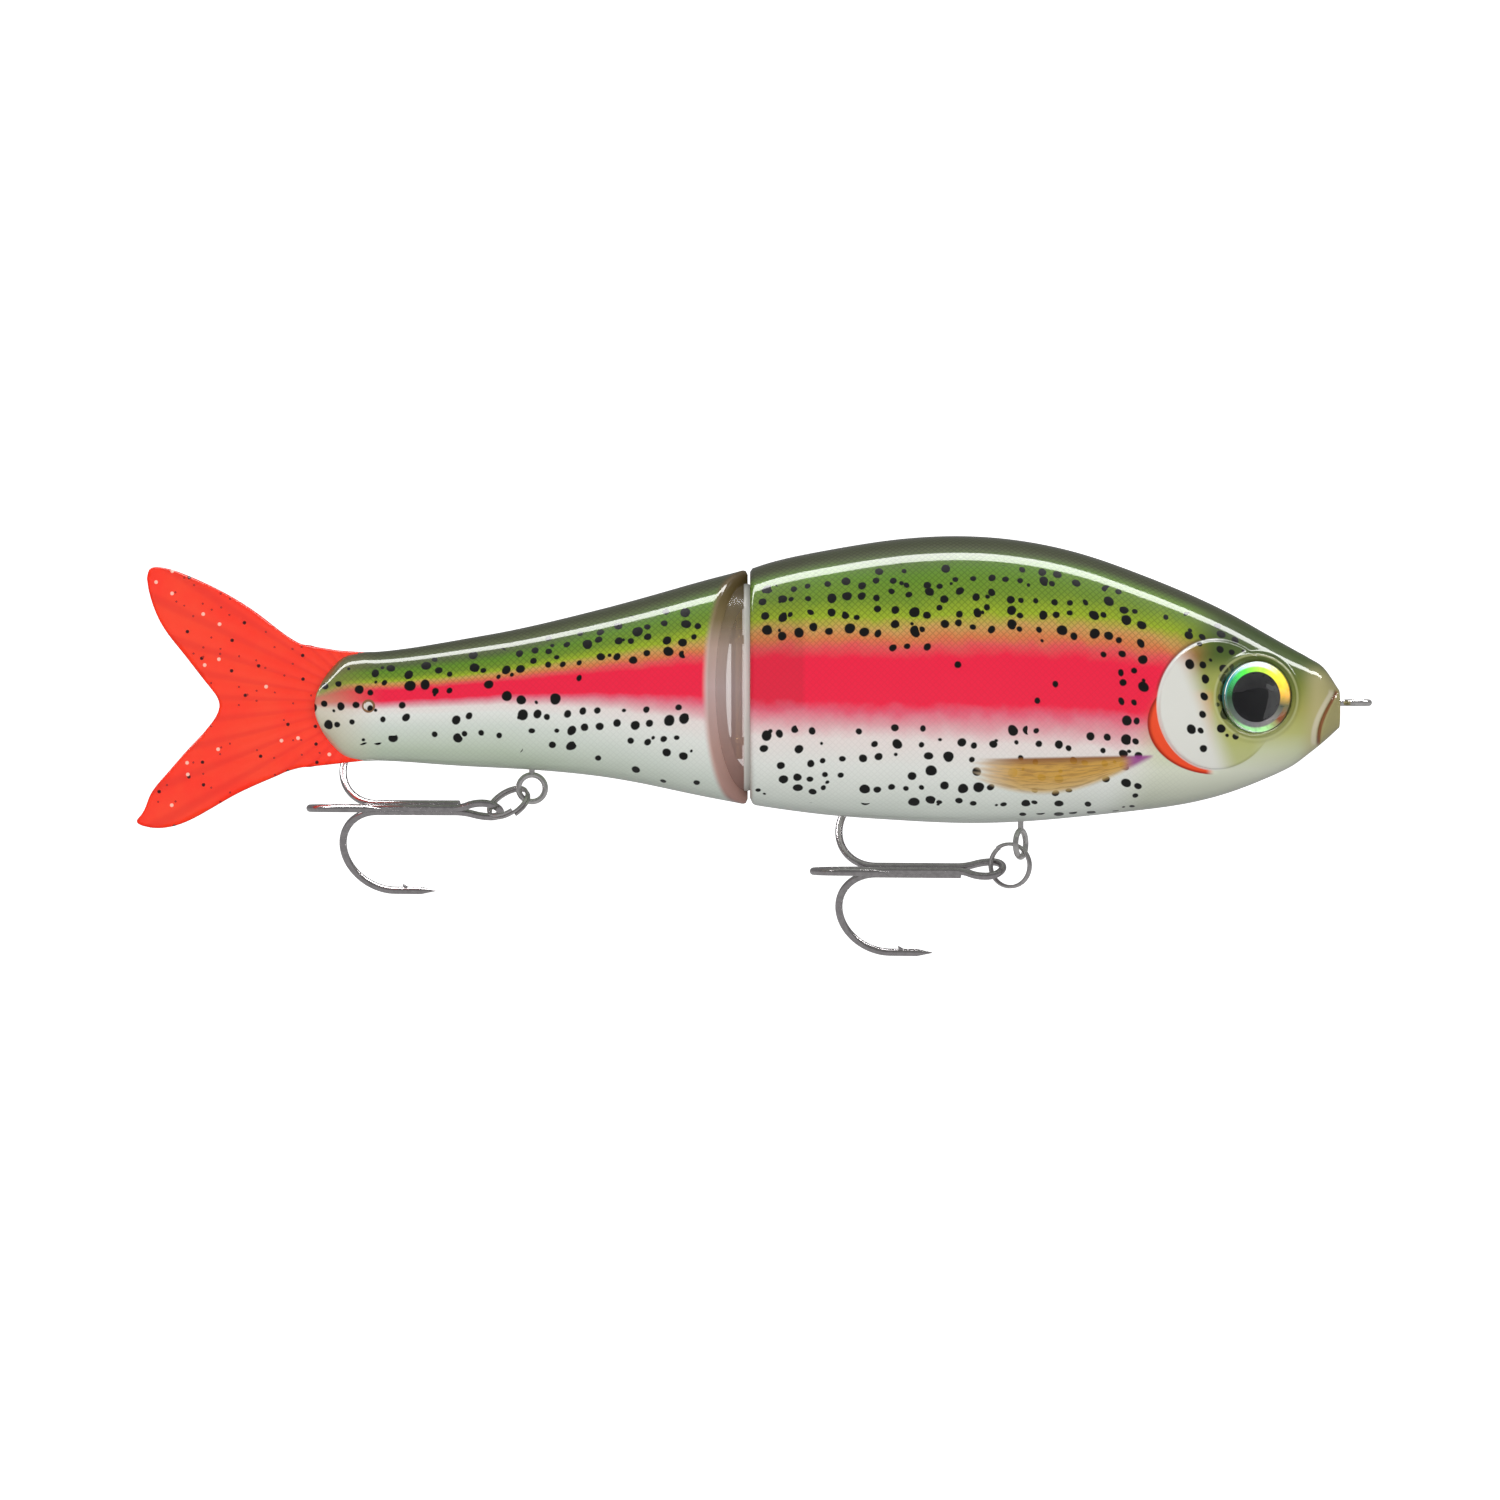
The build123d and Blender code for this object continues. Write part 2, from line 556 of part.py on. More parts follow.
def split_ring(name):
    """Two turns of spring wire, coil on coil."""
    pitch = RING_WIRE + RING_COIL_GAP
    path = Helix(pitch, 2 * pitch, RING_RADIUS)
    start = Plane(origin=path @ 0, z_dir=path % 0)
    coil = sweep(start * Circle(RING_WIRE / 2), path=path)
    way, axis = link_directions(name)
    # The coil's ends lie at the side, clear of both links.
    across = axis.cross(way)
    seat = Plane(origin=ring_centre(name), x_dir=across, z_dir=axis)
    return seat * Pos(0, 0, -pitch) * coil


# ---------------------------------------------------------------- treble hooks
def hook_seat(name):
    """Frame of a treble hook: the origin is its eye's far end, and -X runs down the shank."""
    way, _ = link_directions(name)
    reach = RING_RADIUS - (RING_WIRE + HOOK_WIRE) / 2 - HOOK_GAP
    origin = ring_centre(name) + way * reach
    return Pos(*origin) * Rot(0, 0, -HOOK_YAW)


LEG_RADIUS = (HOOK_WIRE + HOOK_LEG_GAP) / math.sqrt(3)
PRONGS = {"near": 180.0, "low": -60.0, "high": 60.0}  # turn about the shank from +Y towards +Z
DOUBLE_PRONGS = {"front": ("near", "high"), "rear": ("near", "low")}
THIRD_PRONG = {"front": "low", "rear": "high"}


def bend_and_point(prong):
    """One leg's bend, point and barb, drawn in the X-Z plane and turned to its place."""
    x, leg = -HOOK_LENGTH, LEG_RADIUS
    wire = HOOK_WIRE / 2
    outer = leg + 2 * BEND_RADIUS
    mouth = Plane(origin=(x, 0, leg), z_dir=(-1, 0, 0)) * Circle(wire)
    bend = revolve(mouth, Axis((x, 0, leg + BEND_RADIUS), (0, 1, 0)), 180)
    straight = rod((x, 0, outer), (x + POINT_LENGTH - POINT_TAPER, 0, outer), wire)
    tip = Plane(origin=(x + POINT_LENGTH - POINT_TAPER, 0, outer), z_dir=(1, 0, 0)) * Cone(
        wire, POINT_TIP_RADIUS, POINT_TAPER, align=(Align.CENTER, Align.CENTER, Align.MIN)
    )
    foot = x + BARB_FROM_BEND
    crest = (foot, 0, outer - wire - BARB_RISE)
    corners = [crest, (foot + BARB_LEAN, 0, outer), (foot + BARB_LENGTH, 0, outer)]
    barb_side = Face(Wire(Polyline(*corners, close=True).edges()))
    barb = Pos(0, BARB_WIDTH / 2, 0) * extrude(barb_side, BARB_WIDTH, dir=(0, -1, 0))
    return Rot(PRONGS[prong] - 90, 0, 0) * (bend + straight + tip + barb)


def leg_end(prong, x):
    angle = math.radians(PRONGS[prong])
    return (x, LEG_RADIUS * math.cos(angle), LEG_RADIUS * math.sin(angle))


def double_hook(prongs):
    """Two prongs and the eye, bent from one wire."""
    wire = HOOK_WIRE / 2
    one, other = (Vector(*leg_end(prong, 0)) for prong in prongs)
    across = one - other
    half = across.length / 2
    middle = (one + other) * 0.5
    plane = Plane(origin=middle, x_dir=(1, 0, 0), z_dir=Vector(1, 0, 0).cross(across))
    side = plane.y_dir.dot(across)
    leg = math.copysign(half, side)
    eye = math.copysign(HOOK_EYE_RADIUS, side)
    legs_meet, centre = -HOOK_EYE_LENGTH, -HOOK_EYE_RADIUS
    halfway = ((legs_meet + centre) / 2, (leg + eye) / 2)
    start = (-HOOK_LENGTH, leg)
    path = [Line(start, (legs_meet, leg))]
    path.append(TangentArc((legs_meet, leg), halfway, tangent=(1, 0)))
    path.append(TangentArc(halfway, (centre, eye), tangent=path[-1] % 1))
    path.append(ThreePointArc((centre, eye), (0, 0), (centre, -eye)))
    path.append(TangentArc((centre, -eye), (halfway[0], -halfway[1]), tangent=(-1, 0)))
    path.append(TangentArc((halfway[0], -halfway[1]), (legs_meet, -leg), tangent=path[-1] % 1))
    path.append(Line((legs_meet, -leg), (-HOOK_LENGTH, -leg)))
    rail = plane * Wire(path)
    section = Plane(origin=rail @ 0, z_dir=rail % 0) * Circle(wire)
    return sweep(section, path=rail) + [bend_and_point(prong) for prong in prongs]


def third_hook(prong):
    """The single prong that is brazed to the double hook."""
    leg = rod(leg_end(prong, -HOOK_LENGTH), leg_end(prong, -HOOK_EYE_LENGTH + THIRD_LEG_SHORT), HOOK_WIRE / 2)
    return leg + bend_and_point(prong)


def braze():
    """Solder that fills the grooves between the three legs."""
    length = HOOK_LENGTH - HOOK_EYE_LENGTH - 2 * BRAZE_SHORT
    corners = [leg_end(prong, 0)[1:] for prong in PRONGS]
    plan = Polygon(*corners, align=None)
    across = Plane(origin=(-HOOK_LENGTH + BRAZE_SHORT, 0, 0), x_dir=(0, 1, 0), z_dir=(1, 0, 0))
    bar = across * extrude(plan, length)
    for prong in PRONGS:
        bar -= rod(leg_end(prong, -HOOK_LENGTH), leg_end(prong, 0), HOOK_WIRE / 2)
    return bar


# ---------------------------------------------------------------- all the pieces
def pieces():
    made = {
        "line_tie": line_tie(),
        "hinge_pin": hinge_pin(),
        "tail_lock_pin": tail_lock_pin(),
        "tail_root": tail_root(),
        "tail_fin": tail_fin(),
    }
    halves = {"front": front_half(), "rear": rear_half()}
    for side, word in ((RIGHT, "right"), (LEFT, "left")):
        for name, half in halves.items():
            made[f"{name}_shell_{word}"] = to_side(half, side) - hook_hanger(name, SEAT_GAP)
        made[f"{word}_eye_disc"] = eye_disc(side)
        made[f"{word}_eye_lens"] = eye_lens(side)
    for name in HINGE_EYE_HEIGHTS:
        made[f"{name}_hinge_eye"] = hinge_eye(name)
    for name in WEIGHTS:
        made[name] = keel_weight(name)
    for name in ("front", "rear"):
        made[f"{name}_hook_hanger"] = hook_hanger(name)
        made[f"{name}_split_ring"] = split_ring(name)
        made[f"{name}_treble_double_hook"] = hook_seat(name) * double_hook(DOUBLE_PRONGS[name])
        made[f"{name}_treble_third_hook"] = hook_seat(name) * third_hook(THIRD_PRONG[name])
        made[f"{name}_treble_braze"] = hook_seat(name) * braze()
    return made


def report_places():
    """Prints the joints' places and axes, in millimetres."""
    print("hinge", HINGE_X, "tail flex", TAIL_SPLIT_X - FLEX_GAP - TAIL_THICKNESS / 2)
    for name in ("front", "rear"):
        _, axis = link_directions(name)
        one, other = (Vector(*leg_end(prong, 0)) for prong in DOUBLE_PRONGS[name])
        eye_axis = (other - one).normalized().rotate(Axis.Z, -HOOK_YAW)
        print(name, "hanger", hanger_place(name), "hang point", hang_point(name), "ring axis", axis)
        print(name, "ring centre", ring_centre(name), "hook eye", hook_seat(name).position, "axis", eye_axis)


os.makedirs("parts", exist_ok=True)
for node, shape in pieces().items():
    export_step(shape, f"parts/{node}.step")
report_places()
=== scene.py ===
"""Looks of a jointed swimbait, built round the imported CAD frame. Metres; +X to the nose, +Z up."""

import json
import math

import bmesh
import bpy
import numpy as np
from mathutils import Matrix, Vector
from mathutils.bvhtree import BVHTree


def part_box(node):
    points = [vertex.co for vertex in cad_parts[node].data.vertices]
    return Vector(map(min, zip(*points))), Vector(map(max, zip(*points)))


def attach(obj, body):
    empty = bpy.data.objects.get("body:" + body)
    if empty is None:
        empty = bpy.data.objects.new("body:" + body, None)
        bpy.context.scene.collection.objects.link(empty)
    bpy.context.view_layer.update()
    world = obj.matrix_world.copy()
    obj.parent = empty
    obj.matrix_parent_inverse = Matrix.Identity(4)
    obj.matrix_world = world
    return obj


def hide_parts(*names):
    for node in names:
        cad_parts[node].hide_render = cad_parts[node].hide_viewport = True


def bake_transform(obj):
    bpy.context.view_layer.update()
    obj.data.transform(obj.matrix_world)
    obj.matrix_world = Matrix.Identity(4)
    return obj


MM = 0.001

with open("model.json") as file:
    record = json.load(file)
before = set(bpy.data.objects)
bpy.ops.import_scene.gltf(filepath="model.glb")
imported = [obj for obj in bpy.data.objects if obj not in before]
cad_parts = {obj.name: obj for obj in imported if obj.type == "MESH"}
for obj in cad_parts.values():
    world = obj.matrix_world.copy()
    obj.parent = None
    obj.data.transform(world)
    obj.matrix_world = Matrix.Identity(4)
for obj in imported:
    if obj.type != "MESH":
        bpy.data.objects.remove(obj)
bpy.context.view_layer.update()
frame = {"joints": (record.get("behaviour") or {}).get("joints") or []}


# ---------------------------------------------------------------- places read from the frame
JOINTS = {joint["name"]: joint for joint in frame["joints"]}
HINGE_X = JOINTS["body_hinge"]["pos_m"][0]
FLEX_X = JOINTS["tail_flex"]["pos_m"][0]
MOUTH_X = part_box("front_shell_right")[0][0]
NOSE_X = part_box("front_shell_right")[1][0]
BODY_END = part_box("rear_shell_right")[0][0]
PIN_LOW, PIN_HIGH = (Vector(corner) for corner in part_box("tail_lock_pin"))
PIN = (PIN_LOW + PIN_HIGH) / 2
END_ROUND = PIN.x - BODY_END
EYE_LOW, EYE_HIGH = (Vector(corner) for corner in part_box("right_eye_disc"))
EYE = (EYE_LOW + EYE_HIGH) / 2
LENS_LOW, LENS_HIGH = (Vector(corner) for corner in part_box("right_eye_lens"))
EYE_RADIUS = (LENS_HIGH.z - LENS_LOW.z) / 2
EYE_TILT = math.radians(13)
FULLNESS = 2.3  # the oval cross-sections' exponent, as in the CAD
SWING = math.radians(28)
SHOULDER = 1.45 * MM  # hinge axis to the shoulder planes
RIM = 1.0 * MM
KNUCKLE_GAP = 0.4 * MM


# ---------------------------------------------------------------- the body's outline, read off the CAD shells
def tree_of(node):
    mesh = bpy.data.objects[node].data
    return BVHTree.FromPolygons([v.co.copy() for v in mesh.vertices], [p.vertices[:] for p in mesh.polygons])


def hit(tree, start, way):
    place, _, _, _ = tree.ray_cast(Vector(start), Vector(way))
    return place


CUT_MARGIN = 1.5 * MM
OUTSIDE = 0.1  # metres; a height or width well clear of the lure


def within(x, node):
    """Whether x is beside a node that the shell is cut away for."""
    if node is None:
        return False
    low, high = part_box(node)
    return low[0] - CUT_MARGIN < x < high[0] + CUT_MARGIN


class Outline:
    """Back, belly and half width of one body section as smooth functions of x."""

    def __init__(self, node, low, high, count, beside, hanger, eye=None):
        tree = tree_of(node)
        self.rows = []
        wide = []
        for x in np.linspace(low, high, count):
            if within(x, hanger):
                continue
            top = hit(tree, (x, -beside, OUTSIDE), (0, 0, -1))
            bottom = hit(tree, (x, -beside, -OUTSIDE), (0, 0, 1))
            self.rows.append([x, top.z, bottom.z])
            if not within(x, eye):
                middle = (top.z + bottom.z) / 2
                wide.append([x, -hit(tree, (x, -OUTSIDE, middle), (0, 1, 0)).y])
        self.rows = np.array(self.rows)
        self.wide = np.array(wide)
        half_width = self.smooth(self.rows[:, 0], self.wide[:, 0], self.wide[:, 1])
        middle = (self.rows[:, 1] + self.rows[:, 2]) / 2
        half = (self.rows[:, 1] - self.rows[:, 2]) / 2
        half /= (1 - np.clip(beside / half_width, 0, 0.95) ** FULLNESS) ** (1 / FULLNESS)
        self.rows[:, 1] = middle + half
        self.rows[:, 2] = middle - half

    @staticmethod
    def smooth(x, xs, ys):
        """Catmull-Rom through the samples."""
        slopes = np.gradient(ys, xs)
        i = np.clip(np.searchsorted(xs, x) - 1, 0, len(xs) - 2)
        step = xs[i + 1] - xs[i]
        t = (x - xs[i]) / step
        return (
            ys[i] * (2 * t**3 - 3 * t**2 + 1)
            + ys[i + 1] * (3 * t**2 - 2 * t**3)
            + slopes[i] * step * (t**3 - 2 * t**2 + t)
            + slopes[i + 1] * step * (t**3 - t**2)
        )

    def at(self, x):
        top = self.smooth(x, self.rows[:, 0], self.rows[:, 1])
        bottom = self.smooth(x, self.rows[:, 0], self.rows[:, 2])
        half_width = self.smooth(x, self.wide[:, 0], self.wide[:, 1])
        return top, bottom, half_width


FRONT_LOW, FRONT_HIGH = MOUTH_X + 0.05 * MM, NOSE_X - 0.05 * MM
REAR_LOW, REAR_HIGH = BODY_END + 1.2 * MM, HINGE_X - 1.0 * MM
BEHIND_KNUCKLE = 4.2 * MM  # from the hinge axis back to where the flank is the shell's own
NEAR_SEAM, PAST_SLOT = 0.1 * MM, 1.7 * MM  # how far beside the middle plane the back and belly are read
FRONT = Outline(
    "front_shell_right", FRONT_LOW, FRONT_HIGH, 40, NEAR_SEAM, "front_hook_hanger", "right_eye_lens"
)
REAR = Outline("rear_shell_right", REAR_LOW, REAR_HIGH, 24, PAST_SLOT, "rear_hook_hanger")
REAR.wide = REAR.wide[REAR.wide[:, 0] < HINGE_X - BEHIND_KNUCKLE]


def signed_power(value, power):
    return np.sign(value) * np.abs(value) ** power


def oval(angle):
    """Unit oval: side (negative y first) and rise at an angle from the top."""
    return -signed_power(np.sin(angle), 2 / FULLNESS), signed_power(np.cos(angle), 2 / FULLNESS)


# ---------------------------------------------------------------- meshes
def grid_faces(rows, columns):
    """Quads between rings of points, each ring closed on itself."""
    row, column = np.meshgrid(np.arange(rows - 1), np.arange(columns), indexing="ij")
    a = row * columns + column
    b = row * columns + (column + 1) % columns
    return np.stack([a, b, b + columns, a + columns], axis=-1).reshape(-1, 4)


def mesh_object(name, points, faces, material):
    mesh = bpy.data.meshes.new(name)
    mesh.from_pydata([tuple(p) for p in points], [], [tuple(int(i) for i in f) for f in faces])
    mesh.polygons.foreach_set("use_smooth", [True] * len(mesh.polygons))
    mesh.update()
    piece = bpy.data.objects.new(name, mesh)
    bpy.context.scene.collection.objects.link(piece)
    mesh.materials.append(material)
    return piece


def turn_outward(piece):
    work = bmesh.new()
    work.from_mesh(piece.data)
    bmesh.ops.recalc_face_normals(work, faces=work.faces)
    work.to_mesh(piece.data)
    work.free()


def add_uv(piece, name, u, v):
    layer = piece.data.uv_layers.new(name=name)
    index = np.empty(len(piece.data.loops), dtype=np.int64)
    piece.data.loops.foreach_get("vertex_index", index)
    layer.data.foreach_set("uv", np.stack([u[index], v[index]], axis=-1).astype(np.float32).ravel())


def add_number(piece, name, values):
    attribute = piece.data.attributes.new(name, "FLOAT", "POINT")
    attribute.data.foreach_set("value", values.astype(np.float32))


def step(value, low, high):
    t = np.clip((value - low) / (high - low), 0, 1)
    return t * t * (3 - 2 * t)


# ---------------------------------------------------------------- material helper
def linear(*rgb):
    def one(c):
        c /= 255
        return c / 12.92 if c <= 0.04045 else ((c + 0.055) / 1.055) ** 2.4

    return (*[one(c) for c in rgb], 1.0)


NOISE_ROUGHNESS = 0.55


class Nodes:
    """A short way to write a node tree."""

    def __init__(self, name):
        self.material = bpy.data.materials.new(name)
        self.material.use_nodes = True
        self.tree = self.material.node_tree
        self.shader = self.tree.nodes["Principled BSDF"]

    def add(self, kind, **settings):
        node = self.tree.nodes.new(kind)
        for key, value in settings.items():
            setattr(node, key, value)
        return node

    def link(self, source, target):
        if isinstance(source, (int, float, tuple)):
            target.default_value = source
        else:
            self.tree.links.new(source, target)

    def math(self, operation, *values):
        node = self.add("ShaderNodeMath", operation=operation)
        for socket, value in zip(node.inputs, values):
            self.link(value, socket)
        return node.outputs[0]

    def times(self, first, second):
        return self.math("MULTIPLY", first, second)

    def plus(self, first, second):
        return self.math("ADD", first, second)

    def minus(self, first, second):
        return self.math("SUBTRACT", first, second)

    def smooth(self, value, low, high, out_low=0.0, out_high=1.0):
        node = self.add("ShaderNodeMapRange", interpolation_type="SMOOTHSTEP")
        for socket, part in zip(node.inputs, (value, low, high, out_low, out_high)):
            self.link(part, socket)
        return node.outputs[0]

    def mix(self, amount, first, second, blend="MIX"):
        node = self.add("ShaderNodeMix", data_type="RGBA", blend_type=blend)
        self.link(amount, node.inputs[0])
        self.link(first, node.inputs[6])
        self.link(second, node.inputs[7])
        return node.outputs[2]

    def ramp(self, value, stops):
        node = self.add("ShaderNodeValToRGB")
        ramp = node.color_ramp
        ramp.elements[0].position, ramp.elements[0].color = stops[0]
        ramp.elements[1].position, ramp.elements[1].color = stops[-1]
        for place, colour in stops[1:-1]:
            ramp.elements.new(place).color = colour
        self.link(value, node.inputs[0])
        return node.outputs[0]

    def uv(self, name):
        split = self.add("ShaderNodeSeparateXYZ")
        node = self.add("ShaderNodeUVMap", uv_map=name)
        self.link(node.outputs[0], split.inputs[0])
        return node.outputs[0], split.outputs[0], split.outputs[1]

    def place(self):
        split = self.add("ShaderNodeSeparateXYZ")
        node = self.add("ShaderNodeTexCoord")
        self.link(node.outputs["Object"], split.inputs[0])
        return node.outputs["Object"], *split.outputs

    def noise(self, vector, scale, detail):
        node = self.add("ShaderNodeTexNoise")
        self.link(vector, node.inputs["Vector"])
        node.inputs["Scale"].default_value = scale
        node.inputs["Detail"].default_value = detail
        node.inputs["Roughness"].default_value = NOISE_ROUGHNESS
        return node.outputs["Fac"]

    def voronoi(self, vector, scale, randomness=1.0):
        node = self.add("ShaderNodeTexVoronoi", voronoi_dimensions="2D")
        self.link(vector, node.inputs["Vector"])
        node.inputs["Scale"].default_value = scale
        node.inputs["Randomness"].default_value = randomness
        return node

    def bump(self, height, strength, distance):
        node = self.add("ShaderNodeBump")
        node.inputs["Strength"].default_value = strength
        node.inputs["Distance"].default_value = distance
        self.link(height, node.inputs["Height"])
        self.link(node.outputs[0], self.shader.inputs["Normal"])

    def set(self, **values):
        for key, value in values.items():
            self.link(value, self.shader.inputs[key.replace("_", " ").title().replace("Ior", "IOR")])


# ---------------------------------------------------------------- the trout paint
WHITE_BELLY = linear(238, 240, 234)
MINT = linear(198, 212, 190)
OLIVE = linear(80, 92, 44)
BACK_OLIVE = linear(78, 84, 54)
GREEN = linear(98, 142, 30)
YELLOW_GREEN = linear(158, 180, 40)
OCHRE = linear(206, 158, 88)
PINK = linear(255, 28, 70)
BLACK = linear(9, 10, 8)
BAND_SPAN = 16.0  # the band coordinate runs from -8 to 8
SCALE_RATE = 3.7  # radians of the scale net per millimetre of skin
# The edge where the rear section's paint ends over the knuckle: a bow in the side view, in millimetres.
PAINT_EDGE_X, PAINT_EDGE_BOW, PAINT_EDGE_Z, PAINT_EDGE_HALF = -82.8, 4.1, 1.9, 15.2


def band_place(band):
    return (band + BAND_SPAN / 2) / BAND_SPAN


def body_paint():
    """Bands of colour along the flank, round black spots, fine scales, the gill, the fin and the head."""
    n = Nodes("trout_paint")
    skin, x, around = n.uv("skin")  # millimetres from the line tie, and over the skin from mid flank
    _, share, band = n.uv("band")
    rates = [
        n.add("ShaderNodeAttribute", attribute_name=name).outputs["Fac"] for name in ("band_rate", "share_rate")
    ]
    _, _, _, height = n.place()
    height = n.times(height, 1000.0)

    wobble = n.times(n.minus(n.noise(skin, 0.35, 4.0), 0.5), 0.5)
    soft_band = n.plus(band, wobble)
    stops = [
        (-8.0, MINT),
        (-4.6, linear(222, 230, 220)),
        (-3.0, WHITE_BELLY),
        (-2.1, linear(244, 232, 228)),
        (-1.6, linear(236, 170, 178)),
        (-1.15, linear(242, 100, 126)),
        (-0.85, PINK),
        (0.6, PINK),
        (0.98, linear(236, 88, 88)),
        (1.25, linear(222, 124, 76)),
        (1.6, OCHRE),
        (2.0, YELLOW_GREEN),
        (2.6, linear(116, 148, 40)),
        (3.4, GREEN),
        (4.1, linear(80, 104, 36)),
        (4.7, OLIVE),
    ]
    colour = n.ramp(band_coordinate(n, soft_band), [(band_place(b), c) for b, c in stops])
    colour = n.mix(n.smooth(share, 0.915, 0.965), colour, BACK_OLIVE)

    # The pink stops short of the gill and runs into a pale cheek; the head has colours of its own.
    head_stops = [
        (-14.0, linear(196, 202, 184)),
        (-9.0, linear(226, 230, 210)),
        (-6.2, linear(214, 220, 180)),
        (-4.0, linear(196, 198, 126)),
        (-1.0, linear(176, 174, 90)),
        (2.0, linear(136, 146, 60)),
        (5.0, linear(86, 108, 42)),
        (9.0, linear(70, 92, 38)),
        (12.0, linear(76, 88, 42)),
        (15.0, OLIVE),
    ]
    head = n.ramp(
        n.math("DIVIDE", n.plus(height, 16.0), 32.0), [((z + 16.0) / 32.0, c) for z, c in head_stops]
    )
    to_head = n.smooth(n.plus(x, n.times(height, -0.45)), -29.0, -22.0)
    colour = n.mix(to_head, colour, head)

    # Scales: a fine diamond net, strong in the green and just ahead of the joint.
    net_u = n.math("SINE", n.times(n.plus(x, around), SCALE_RATE))
    net_v = n.math("SINE", n.times(n.minus(x, around), SCALE_RATE))
    net = n.math("MINIMUM", n.math("ABSOLUTE", net_u), n.math("ABSOLUTE", net_v))
    net = n.minus(n.smooth(net, 0.0, 0.6), 0.6)
    in_green = n.smooth(band, 0.4, 2.0, 0.06, 0.42)
    not_head = n.minus(1.0, n.smooth(x, -27.0, -20.0))
    net_tone = n.plus(1.0, n.times(n.times(net, in_green), not_head))
    colour = n.mix(1.0, colour, grey(n, net_tone), "MULTIPLY")
    overlap = n.times(n.smooth(x, -73.4, -74.2), n.smooth(x, -82.0, -81.8))
    overlap = n.times(overlap, n.smooth(band, -1.5, -0.8))
    colour = n.mix(n.times(overlap, 0.14), colour, linear(60, 50, 30))

    colour = gill(n, colour, x, height)
    colour = spots(n, rear_end(n, colour, x, height), skin, (band, share), rates, x)
    colour = face(n, fin(n, colour, x, height), x, height)
    edge = n.math("DIVIDE", n.minus(height, PAINT_EDGE_Z), PAINT_EDGE_HALF)
    edge = n.math("SQRT", n.math("MAXIMUM", n.minus(1.0, n.times(edge, edge)), 0.0))
    edge = n.minus(PAINT_EDGE_X, n.times(edge, PAINT_EDGE_BOW))
    bare = n.times(n.smooth(n.minus(x, edge), -0.5, 0.45), n.smooth(x, -80.95, -81.05))
    colour = n.mix(bare, colour, smoke(n, height))
    n.link(colour, n.shader.inputs["Base Color"])
    n.set(roughness=0.45, coat_weight=1.0, coat_roughness=0.06, coat_ior=1.36)
    n.shader.inputs["Specular IOR Level"].default_value = 0.1
    n.bump(net, 0.12, 0.00004)
    return n.material


def rear_end(n, colour, x, z):
    """The tan round end, and the ring round the tail's lock pin."""
    tan = n.mix(n.smooth(z, -2.0, 3.0), linear(214, 196, 166), linear(142, 128, 78))
    colour = n.mix(n.smooth(x, -129.0, -138.0, 0.0, 0.6), colour, tan)
    ring = ellipse_value(n, x, z, PIN.x / MM, PIN.z / MM, 1.0, 1.0)
    colour = n.mix(n.smooth(ring, 0.95, 0.82), colour, linear(140, 100, 66))
    return n.mix(n.smooth(ring, 0.62, 0.5), colour, linear(232, 226, 216))


def band_coordinate(n, band):
    return n.math("DIVIDE", n.plus(band, BAND_SPAN / 2), BAND_SPAN)


def grey(n, value):
    node = n.add("ShaderNodeCombineColor")
    for socket in node.inputs:
        n.link(value, socket)
    return node.outputs[0]


def spots(n, colour, skin, levels, rates, x):
    """Two sizes of spots. Whether a spot is there depends on the middle of its own cell, so zones don't cut it."""
    jitter = n.add("ShaderNodeTexNoise")
    n.link(skin, jitter.inputs["Vector"])
    jitter.inputs["Scale"].default_value = 0.3
    jitter.inputs["Detail"].default_value = 1.0
    offset = n.add("ShaderNodeVectorMath", operation="MULTIPLY_ADD")
    n.link(jitter.outputs["Color"], offset.inputs[0])
    offset.inputs[1].default_value = (0.7, 0.7, 0.0)
    n.link(skin, offset.inputs[2])
    for spacing, low, high, seed, chance in ((2.15, 0.36, 0.70, 0.0, 1.0), (1.9, 0.2, 0.3, 37.0, 0.12)):
        shift = n.add("ShaderNodeVectorMath", operation="ADD")
        n.link(offset.outputs[0], shift.inputs[0])
        shift.inputs[1].default_value = (seed, seed * 1.7, 0.0)
        cell = n.voronoi(shift.outputs[0], 1 / spacing, randomness=0.64)
        dice = n.add("ShaderNodeSeparateColor")
        n.link(cell.outputs["Color"], dice.inputs[0])
        centre = n.add("ShaderNodeVectorMath", operation="SUBTRACT")
        n.link(cell.outputs["Position"], centre.inputs[0])
        n.link(shift.outputs[0], centre.inputs[1])
        # From here to the middle of the cell, in millimetres.
        scaled = n.add("ShaderNodeSeparateXYZ")
        n.link(centre.outputs[0], scaled.inputs[0])
        cell_x = n.plus(x, scaled.outputs[0])
        cell_band, cell_share = (
            n.plus(level, n.times(scaled.outputs[1], rate))
            for level, rate in zip(levels, rates)
        )
        size = n.math("POWER", dice.outputs[0], 1.6)
        radius = n.plus(low, n.times(size, high - low))
        distance = n.times(cell.outputs["Distance"], spacing)
        disc = n.smooth(n.minus(distance, radius), 0.1, -0.06)
        wanted = n.times(spot_density(n, cell_x, cell_band), n.smooth(cell_share, 0.905, 0.875))
        there = n.math("LESS_THAN", dice.outputs[1], n.times(wanted, chance))
        colour = n.mix(n.times(disc, there), colour, BLACK)
    return colour


